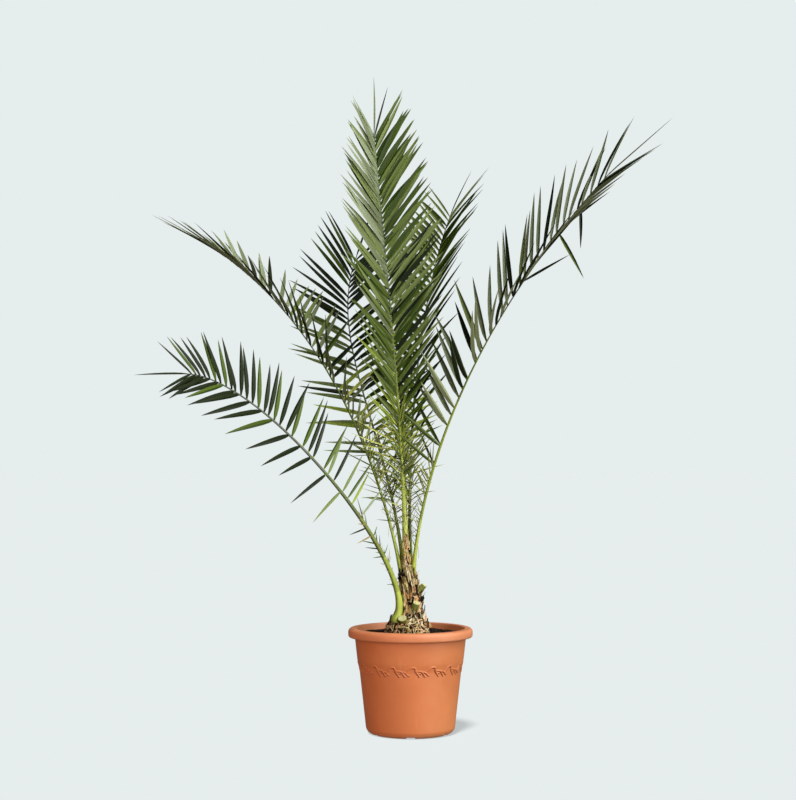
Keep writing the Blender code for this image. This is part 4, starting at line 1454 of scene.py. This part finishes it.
SPINE_BREADTHS = (0.36, 0.70)   # how wide a spine is against the plain rule, low and high
ZONE_ENDS = (0.16, 0.55)        # where the foot and the middle of a blade end
HEEL_SHARE = 0.35               # leaflets below this share of a blade have yellow-green heels
print("greens for", len(DEALS), "fronds")


# %% Leaflets
def build_leaflets(frond):
    """All leaflets of one frond as one piece, and its spines as another."""
    rng = Random(frond.seed + 100)
    blades, spines = Pile(), Pile()
    for leaf in crown[frond.name]:
        t, side = leaf.wish[:2]
        bow = rng.uniform(-0.06, 0.02)
        sway = rng.uniform(-0.03, 0.03)
        if t < frond.bare:
            near = t / frond.bare
            tone = rng.choice(SPINE_DEALS[int(near * 3) if frond.spines > STRONG_SPINES else 0])
            leaf = leaf._replace(width=leaf.width * blend(SPINE_BREADTHS, near))
            put_leaflet(spines, leaflet(leaf, bow * 0.5, sway, 0.0, SPINE_FOLD), tone)
        else:
            share = (t - frond.bare) / (1 - frond.bare)
            zone = sum(share + rng.uniform(-0.06, 0.06) > end for end in ZONE_ENDS)
            leaf = leaf._replace(width=leaf.width * blend(BREADTHS[frond.name], share))
            shape = leaflet(leaf, bow, sway, rng.uniform(0.0, 0.04))
            tone = rng.choice(DEALS[frond.name][side < 0][zone])
            put_leaflet(blades, shape, tone, FRESH if share < HEEL_SHARE else tone)
    name = frond.name.replace("Frond", "Leaflets")
    blades.build(name, leaves, "frond_green", [frond.name], LEAF_CREASE)
    name = frond.name.replace("Frond", "Spines")
    spines.build(name, leaves, "frond_green", crease=LEAF_CREASE)


for frond in FRONDS:
    build_leaflets(frond)

# %% [markdown]
# ## Stalks and ribs
# A stalk is broad and flat-topped where it clasps the stem, and becomes a slim rib with a
# ridge between the two rows. It is lofted through cross-sections that change along it, and
# its colour steps through a row of close tones, too near each other for a seam to show.

# %% Stalks
RIB_STEPS = 90
RIB_POINTS = 12
RIB_SLIM = 0.97                 # a rib's girth against its plain solid's
SWELL = 0.26                    # how much a stalk swells where it clasps the stem,
SWELLS = {"Frond_Lower_Left": 0.62}     # and how much the lowest one does
SWELL_REACH = 0.07              # how far up the rib the swelling dies away
GIRTHS = {                      # how much wider than its plain solid a stalk is below the blade
    "Frond_Centre": 1.38, "Frond_Lower_Left": 1.18, "Frond_Right": 1.40,
    "Frond_Upper_Left": 1.32, "Frond_Back_Left": 1.42, "Frond_Back_Right": 1.60,
}
SHADED_EDGE = 4                      # how many tones darker the middle stalk's right edge is, as painted shade
STALK_TONES = {                 # tones along the rib, from the foot to the tip
    # The middle rib's last tones, the darkest, are partly its dull grey-green, partly painted shade
    # between the rows.
    "Frond_Centre": (0.6, 0.0, 1.4, 4.2, 4.6, 6.0, 7.0, 7.0),
    "Frond_Lower_Left": (1.0, 1.6, 3.0, 4.0, 5.0, 5.0, 5.5, 6.0),
    "Frond_Right": (1.0, 1.6, 2.2, 2.6, 3.5, 5.5, 6.5, 7.0),
    "Frond_Upper_Left": (1.0, 1.6, 2.6, 3.4, 4.6, 5.5, 6.0, 6.0),
    "Frond_Back_Left": (1.6, 2.6, 3.6, 5.0, 5.0, 5.0, 5.0, 6.0),
    "Frond_Back_Right": (3.0, 4.0, 6.0, 4.6, 4.6, 5.0, 5.0, 6.0),
}


def build_stalk(frond):
    """The petiole and rib of one frond."""
    pile = Pile()
    rings, tones = [], []
    foot = Vector(frond.arch[0]) - arch_heading(frond.arch, 0) * SOCKET_DEPTH * 0.8
    for step in range(-1, RIB_STEPS + 1):
        t = max(step, 0) / RIB_STEPS
        centre = foot if step < 0 else arch_point(frond.arch, t)
        share = max(0.0, (t - frond.bare) / (1 - frond.bare))
        _, across, upper = blade_frame(frond, t, share)
        girth = 1 + (GIRTHS[frond.name] - 1) * (1 - smoothstep(0.25, 0.60, t))
        swell = SWELLS.get(frond.name, SWELL) * math.exp(-t / SWELL_REACH)
        radius = rib_radius(frond, t) * (RIB_SLIM + swell) * girth
        knot = 1 + 0.07 * wobble(t * 60, frond.seed, 0.5)
        flat = 0.80 + 0.20 * smoothstep(0.0, 0.3, t)
        points = []
        for a in turns_of(RIB_POINTS):
            up = math.sin(a) * (0.72 if math.sin(a) > 0 else 1.0) * flat
            points.append(centre + (across * math.cos(a) * knot + upper * up) * radius)
        rings.append(points)
        tones.append(round(blend(STALK_TONES[frond.name], t)))
    verts, faces = loft(rings)
    of_faces = [tone for tone in tones[:-1] for _ in range(RIB_POINTS)]
    # Painted shade: faces down the middle stalk's right edge take a darker tone.
    if frond.name == "Frond_Centre":
        for i in range(int(RIB_STEPS * frond.bare * 1.3) * RIB_POINTS):
            circle = rings[i // RIB_POINTS]
            left = circle[RIB_POINTS // 2]
            ragged = noise.noise(verts[i] * 60) * 0.002
            if (verts[i] - left).x + ragged > abs(circle[0].x - left.x) * 0.62:
                of_faces[i] += SHADED_EDGE
    pile.add(verts, faces, of_faces + [tones[0], tones[-1]])
    pile.build(frond.name.replace("Frond", "Stalk"), stalks, "frond_green", crease=50)


for frond in FRONDS:
    build_stalk(frond)

# %% [markdown]
# ## Cut leaf bases
# Where old leaves were cut off, short stubs are left: flattened, tapering and slightly
# curved up, with a pale green or straw-coloured cut face and a dark fibrous collar. Each is
# a loft whose last rings are drawn in to make the face.

# %% Stubs
STUBS = (                       # bearing, height, rise, reach, radius, side tone, face tone
    (345, 0.372, 0.032, 0.038, 0.0098, STUB_SIDE, CUT_FACE),
    (300, 0.318, 0.040, 0.041, 0.0112, STUB_SIDE, CUT_FACE),
    (255, 0.283, 0.034, 0.051, 0.0130, DRY_SIDE, CUT_FACE),
    (70, 0.338, 0.028, 0.042, 0.0100, 4, 1),
    (125, 0.300, 0.026, 0.051, 0.0110, 5, 2),
    (100, 0.392, 0.024, 0.039, 0.0085, 4, 0),
)
STUB_SIDES = 18
STUB_SPANS = 10
STUB_END = ((1.012, 0.74), (1.004, 0.60), (0.99, 0.30))  # rings drawn in to make the cut face
COLLAR_STRANDS = 26


def build_stubs():
    """The cut leaf bases and the torn fibres round each one's foot."""
    rng = Random(44)
    bases, collars = Pile(), Pile()
    for bearing, height, rise, reach, radius, side_tone, face_tone in STUBS:
        out = level(math.radians(bearing))
        across = Vector((-out.y, out.x, 0))
        axis = Vector((trunk_at(height)[0], 0, height))
        inner, outer = axis + out * reach * 0.35, axis + out * reach + Vector((0, 0, rise))
        heading = (outer - inner).normalized()
        upper = heading.cross(across).normalized()
        rings = []
        spots = [(i / STUB_SPANS, 1.15 - 0.33 * i / STUB_SPANS) for i in range(STUB_SPANS + 1)]
        for share, size in (*spots, *STUB_END):
            centre = inner.lerp(outer, share) + upper * (math.sin(share * 3) * 0.0016)
            points = []
            for a in turns_of(STUB_SIDES):
                wave = 1 + 0.07 * wobble(math.cos(a) * 2, math.sin(a) * 2, bearing + share * 3)
                wide, thick = radius * size * 1.10 * wave, radius * size * 0.96 * wave
                points.append(centre + across * (math.cos(a) * wide) + upper * (math.sin(a) * thick))
            rings.append(points)
        verts, faces = loft(rings)
        sides = STUB_SIDES * STUB_SPANS
        bases.add(verts, faces, [side_tone] * sides + [face_tone] * (len(faces) - sides))
        for _ in range(COLLAR_STRANDS):
            a = rng.uniform(0, 2 * math.pi)
            points = []
            for i in range(7):
                share = 0.30 + i * rng.uniform(0.045, 0.085)
                size = radius * (1.12 - 0.3 * share) * rng.uniform(1.0, 1.12)
                a += rng.uniform(-0.25, 0.25)
                offset = across * math.cos(a) + upper * math.sin(a) * 0.84
                points.append(inner.lerp(outer, share) + offset * size)
            tone = rng.choice((BLACK, DARK, BROWN, DARK, TAN))
            collars.add(*strand(points, rng.uniform(0.0004, 0.0009), 0.3), tone)
    bases.build("Cut_leaf_bases", stalks, "frond_green", crease=40)
    collars.build("Collar_fibres", fibres, "palm_fibre")


build_stubs()

# %% [markdown]
# ## Torn sheaths
# A leaf base dries to a brown sheath that tears into flaps. Each flap is a thin curved
# sheet that follows the stem and peels away at its ragged top. One tall pinkish strip, the
# dry edge of the lowest stalk, runs up the front beside it.

# %% Flaps
FLAP_ROWS = 9
FLAP_COLUMNS = 8
FLAP_THICK = 0.0009
RANDOM_FLAPS = 150
CHOSEN_FLAPS = (                # bearing, foot height, width, length, peel, tone
    (244, 0.316, 0.009, 0.088, 0.0035, PINK),
    (262, 0.330, 0.007, 0.060, 0.0030, RUST),
    (282, 0.404, 0.009, 0.038, 0.0060, CREAM),
    (268, 0.412, 0.007, 0.026, 0.0050, CREAM),
    (292, 0.398, 0.005, 0.030, 0.0070, CREAM),
    (188, 0.284, 0.014, 0.044, 0.0130, DARK),
    (350, 0.268, 0.020, 0.040, 0.0090, DARK),
    (8, 0.280, 0.016, 0.034, 0.0120, BLACK),
    (338, 0.352, 0.010, 0.026, 0.0100, BLACK),
    (306, 0.402, 0.006, 0.052, 0.0040, BROWN),
    (292, 0.352, 0.014, 0.028, 0.0075, PINK),
    (312, 0.372, 0.012, 0.040, 0.0040, BLACK),
    (250, 0.392, 0.014, 0.038, 0.0030, TAN),
    (350, 0.338, 0.016, 0.034, 0.0060, BLACK),
)


def flap(rng, bearing, foot, width, length, peel, tone, pile, skin=on_trunk, girth=None):
    """One torn sheath: a thin sheet on a skin that lifts towards its ragged top."""
    turn = math.radians(bearing)
    skew = rng.uniform(-0.25, 0.25)
    front, back = [], []
    for row in range(FLAP_ROWS + 1):
        share = row / FLAP_ROWS
        for column in range(FLAP_COLUMNS + 1):
            across = column / FLAP_COLUMNS - 0.5
            torn = abs(wobble(across * 9, bearing, 1.7))
            ragged = 1 - 0.35 * torn - 0.3 * across * across
            height = foot + length * share * ragged
            radius = girth or trunk_at(height)[1]
            spread = across * width * (1 - 0.35 * share) + skew * length * share * 0.3
            curl = 0.002 * math.cos(across * 5)
            proud = 0.0012 + peel * share ** 1.6 + curl
            front.append(skin(turn + spread / radius, height, proud))
            back.append(skin(turn + spread / radius, height, proud - FLAP_THICK))
    columns = FLAP_COLUMNS + 1
    start = len(front)
    faces = []
    for row in range(FLAP_ROWS):
        for column in range(FLAP_COLUMNS):
            low = row * columns + column
            faces.append((low, low + 1, low + columns + 1, low + columns))
            faces.append(tuple(start + i for i in (low + columns, low + columns + 1, low + 1, low)))
    edge = list(range(columns)) + [row * columns + columns - 1 for row in range(1, FLAP_ROWS + 1)]
    edge += [FLAP_ROWS * columns + column for column in range(columns - 2, -1, -1)]
    edge += [row * columns for row in range(FLAP_ROWS - 1, 0, -1)]
    for here, after in zip(edge, edge[1:] + edge[:1]):
        faces.append((here, start + here, start + after, after))
    pile.add(front + back, faces, tone)


def build_flaps():
    """All the torn sheaths as one piece."""
    rng = Random(55)
    pile = Pile()
    for bearing, foot, width, length, peel, tone in CHOSEN_FLAPS:
        flap(rng, bearing, foot, width, length, peel, tone, pile)
    for i in range(RANDOM_FLAPS):
        foot = rng.uniform(0.290, 0.422)
        tone = rng.choice((CREAM, PINK, TAN, CREAM, RUST, TAN, DARK, BLACK))
        size = 2.0 if i % 5 == 0 else 1.0
        bearing, width = rng.uniform(0, 360), size * rng.uniform(0.004, 0.008)
        length, peel = size * rng.uniform(0.008, 0.018), size * rng.uniform(0.001, 0.0035)
        flap(rng, bearing, foot, width, length, peel, tone, pile)
    pile.build("Torn_sheaths", fibres, "palm_fibre")


build_flaps()

# %% [markdown]
# ## The woven sheath and the spear
# Young leaves are held together at their feet by a cloth of crossed fibres. It is a skin
# round the middle stalk with two sets of strands wound over it in opposite directions.
# Behind that stalk the next leaf is still shut: a slim pleated spear.

# %% Sheath and spear
SHEATH_ROWS = 24
SHEATH_SIDES = 32
SHEATH_STRANDS = 170
CLOTH_FLAPS = 90
SHEATH_FOOT = Vector((-0.0095, -0.0075, TRUNK_TOP - 0.022))
SHEATH_TOP = Vector((-0.0134, -0.0096, 0.536))
SHEATH_RADII = (0.0125, 0.0110, 0.0100, 0.0088, 0.0080)
CLOTH_RADIUS = 0.011            # mean radius, on which the flaps of the cloth are laid out
SPEAR_FOOT = Vector((-0.006, 0.005, TRUNK_TOP - SOCKET_DEPTH))
SPEAR_TIP = Vector((-0.030, 0.060, 1.02))
SPEAR_RADII = (0.0036, 0.0040, 0.0047, 0.0050, 0.0050, 0.0048, 0.0042, 0.0034, 0.0024, 0.0007)
SPEAR_ROWS = 60
SPEAR_PLEATS = 9
SPEAR_SIDES = SPEAR_PLEATS * 4


def on_sheath(turn, share, proud=0.0):
    """A point on the woven sheath's skin."""
    rough = wobble(math.cos(turn) * 3, math.sin(turn) * 3, share * 14) * 0.0012
    reach = blend(SHEATH_RADII, share) - 0.0012 + rough + proud
    return SHEATH_FOOT.lerp(SHEATH_TOP, share) + level(turn) * reach


def on_cloth(turn, height, proud):
    """A point on the sheath's skin at a height."""
    return on_sheath(turn, (height - SHEATH_FOOT.z) / (SHEATH_TOP.z - SHEATH_FOOT.z), proud)


def build_sheath():
    """The woven fibre cloth round the middle stalk's foot."""
    rng = Random(66)
    pile = Pile()
    rings = []
    for row in range(SHEATH_ROWS + 1):
        rings.append([on_sheath(turn, row / SHEATH_ROWS) for turn in turns_of(SHEATH_SIDES)])
    verts, faces = loft(rings)
    tones = [rng.choice((DARK, RUST, RUST, BROWN, BLACK)) for _ in faces]
    pile.add(verts, faces, tones)
    for i in range(SHEATH_STRANDS):
        turn, share = rng.uniform(0, ONCE_ROUND), rng.uniform(-0.02, 0.80)
        wind = (0.28 if i % 2 else -0.28) * rng.uniform(0.3, 1.3)
        climb = rng.uniform(0.02, 0.05)
        points = []
        for k in range(rng.randint(6, 12)):
            points.append(on_sheath(turn + wind * k, share + climb * k, rng.uniform(0.0, 0.0008)))
        tone = rng.choice((TAN, RUST, CREAM, CREAM, PINK, BLACK, TAN))
        pile.add(*strand(points, rng.uniform(0.0005, 0.0014), 0.5), tone)
    for _ in range(CLOTH_FLAPS):
        tone = rng.choice((CREAM, PINK, RUST, CREAM, PINK, TAN, BLACK))
        bearing, foot = rng.uniform(0, 360), rng.uniform(TRUNK_TOP - 0.010, SHEATH_TOP.z - 0.014)
        width, length = rng.uniform(0.003, 0.007), rng.uniform(0.006, 0.015)
        peel = rng.uniform(0.0006, 0.0022)
        flap(rng, bearing, foot, width, length, peel, tone, pile, on_cloth, CLOTH_RADIUS)
    pile.build("Woven_sheath", fibres, "palm_fibre")


def build_spear():
    """The shut leaf: pleats that run its whole length and close to a point."""
    pile = Pile()
    rings, tones = [], []
    for row in range(SPEAR_ROWS + 1):
        share = row / SPEAR_ROWS
        centre = SPEAR_FOOT.lerp(SPEAR_TIP, share)
        radius = blend(SPEAR_RADII, share)
        points = []
        for turn in turns_of(SPEAR_SIDES):
            wave = 0.5 + 0.5 * math.cos(SPEAR_PLEATS * turn)
            pleat = 1 - 0.16 * wave * smoothstep(0.05, 0.2, share)
            points.append(centre + level(turn) * (radius * pleat))
        rings.append(points)
        tones.append(1 if share < 0.15 else 2 if share < 0.5 else 3)
    verts, faces = loft(rings)
    of_faces = [tone for tone in tones[:-1] for _ in range(SPEAR_SIDES)]
    pile.add(verts, faces, of_faces + [tones[0], tones[-1]])
    pile.build("Spear_leaf", stalks, "frond_green", ["Spear"], crease=25)


build_sheath()
build_spear()

# %% [markdown]
# ## Threads, fine spines and lone leaflets
# Dry threads peel from the leaflets' edges and hang in the crown's foot, and between the
# strong spines stand finer ones. Where spines turn into leaflets, slender pale ones cross
# one another. A few leaflets on the right frond are broken and hang, and at the centre
# frond's tip a second thin one stands beside the last: these are placed one by one.

# %% Loose things
THREADS = 18
THREADED = (0, 4, 5)            # the fronds from which they hang
THREAD_STEP = 0.0085
FINE_SPINES = 12
YOUNG_LEAFLETS = 120            # slender pale ones where spines turn into leaflets
SPROUTING = (0, 0, 3, 4, 5)     # the fronds that bear them, the centre one twice as often
LONE_FACE = Vector((-0.3, -1.0, 0.4))       # where a lone leaflet's upper face looks
LONE = (                        # frond, place on its rib, tip, width, green
    ("Frond_Right", 0.905, (0.461, -0.120, 1.312), 0.009, SHADE_GREEN),
    ("Frond_Right", 0.830, (0.471, -0.100, 1.236), 0.010, DEEP),
    ("Frond_Right", 0.700, (0.429, -0.090, 1.301), 0.008, SHADE_GREEN),
    ("Frond_Centre", 0.985, (-0.068, 0.338, 1.831), 0.006, SHADE_GREEN),
)


def build_threads():
    """Hanging dry threads in the foot of the crown."""
    rng = Random(77)
    pile = Pile()
    for _ in range(THREADS):
        frond = FRONDS[rng.choice(THREADED)]
        points = [arch_point(frond.arch, rng.uniform(0.08, 0.26))]
        heading = Vector((rng.uniform(-0.6, 0.6), rng.uniform(-1, 0.4), rng.uniform(-0.8, 0.2)))
        heading.normalize()
        for _ in range(rng.randint(5, 9)):
            heading += Vector((rng.uniform(-0.3, 0.3), rng.uniform(-0.3, 0.3), -0.45))
            heading.normalize()
            points.append(points[-1] + heading * THREAD_STEP)
        thread = strand(points, rng.uniform(0.0003, 0.0006), 0.6, 4)
        pile.add(*thread, rng.choice((DARK, BROWN, TAN, BLACK)))
    pile.build("Threads", fibres, "palm_fibre")


def build_fine_spines():
    """Thin spines between the strong ones on every stalk, and the young leaflets."""
    rng = Random(88)
    pile = Pile()
    for frond in FRONDS:
        for _ in range(FINE_SPINES):
            t = frond.bare * rng.uniform(0.2, 1.0)
            length = frond.spines * rng.uniform(0.025, 0.075) * (0.5 + t / frond.bare)
            leaf = make_leaf(frond, (
                t, rng.choice((1, -1)), rng.uniform(25, 95), frond.lift[0] + rng.uniform(-50, 50),
                length, rng.uniform(0.0014, 0.0026),
            ))
            bow, sway = rng.uniform(-0.05, 0.05), rng.uniform(-0.05, 0.05)
            tone = rng.choice((YELLOW, FRESH, GREEN, STRAW, DEEP))
            put_leaflet(pile, leaflet(leaf, bow, sway, 0.02, SPINE_FOLD), tone)
    for _ in range(YOUNG_LEAFLETS):
        frond = FRONDS[rng.choice(SPROUTING)]
        leaf = make_leaf(frond, (
            frond.bare * rng.uniform(0.55, 1.15), rng.choice((1, -1)), rng.uniform(12, 70),
            frond.lift[0] + rng.uniform(-20, 60), rng.uniform(0.05, 0.12), rng.uniform(0.003, 0.0065),
        ))
        bow, sway = rng.uniform(-0.3, 0.3), rng.uniform(-0.2, 0.2)
        tone = rng.choice((YELLOW, FRESH, FRESH, YELLOW, PALE_SHEEN, SAGE))
        put_leaflet(pile, leaflet(leaf, bow, sway, 0.05), tone)
    pile.build("Fine_spines", leaves, "frond_green", crease=LEAF_CREASE)


def build_lone():
    """Leaflets out of line: three broken, hanging ones and a thin one at the centre tip."""
    pile = Pile()
    for name, t, tip, width, tone in LONE:
        frond = next(frond for frond in FRONDS if frond.name == name)
        root = arch_point(frond.arch, t)
        reach = Vector(tip) - root
        along = reach.normalized()
        face = (LONE_FACE - along * LONE_FACE.dot(along)).normalized()
        leaf = Leaf(root, along, face, reach.length, width, None)
        put_leaflet(pile, leaflet(leaf, 0.06, 0.04, 0.0), tone)
    pile.build("Lone_leaflets", leaves, "frond_green", crease=LEAF_CREASE)


build_threads()
build_fine_spines()
build_lone()
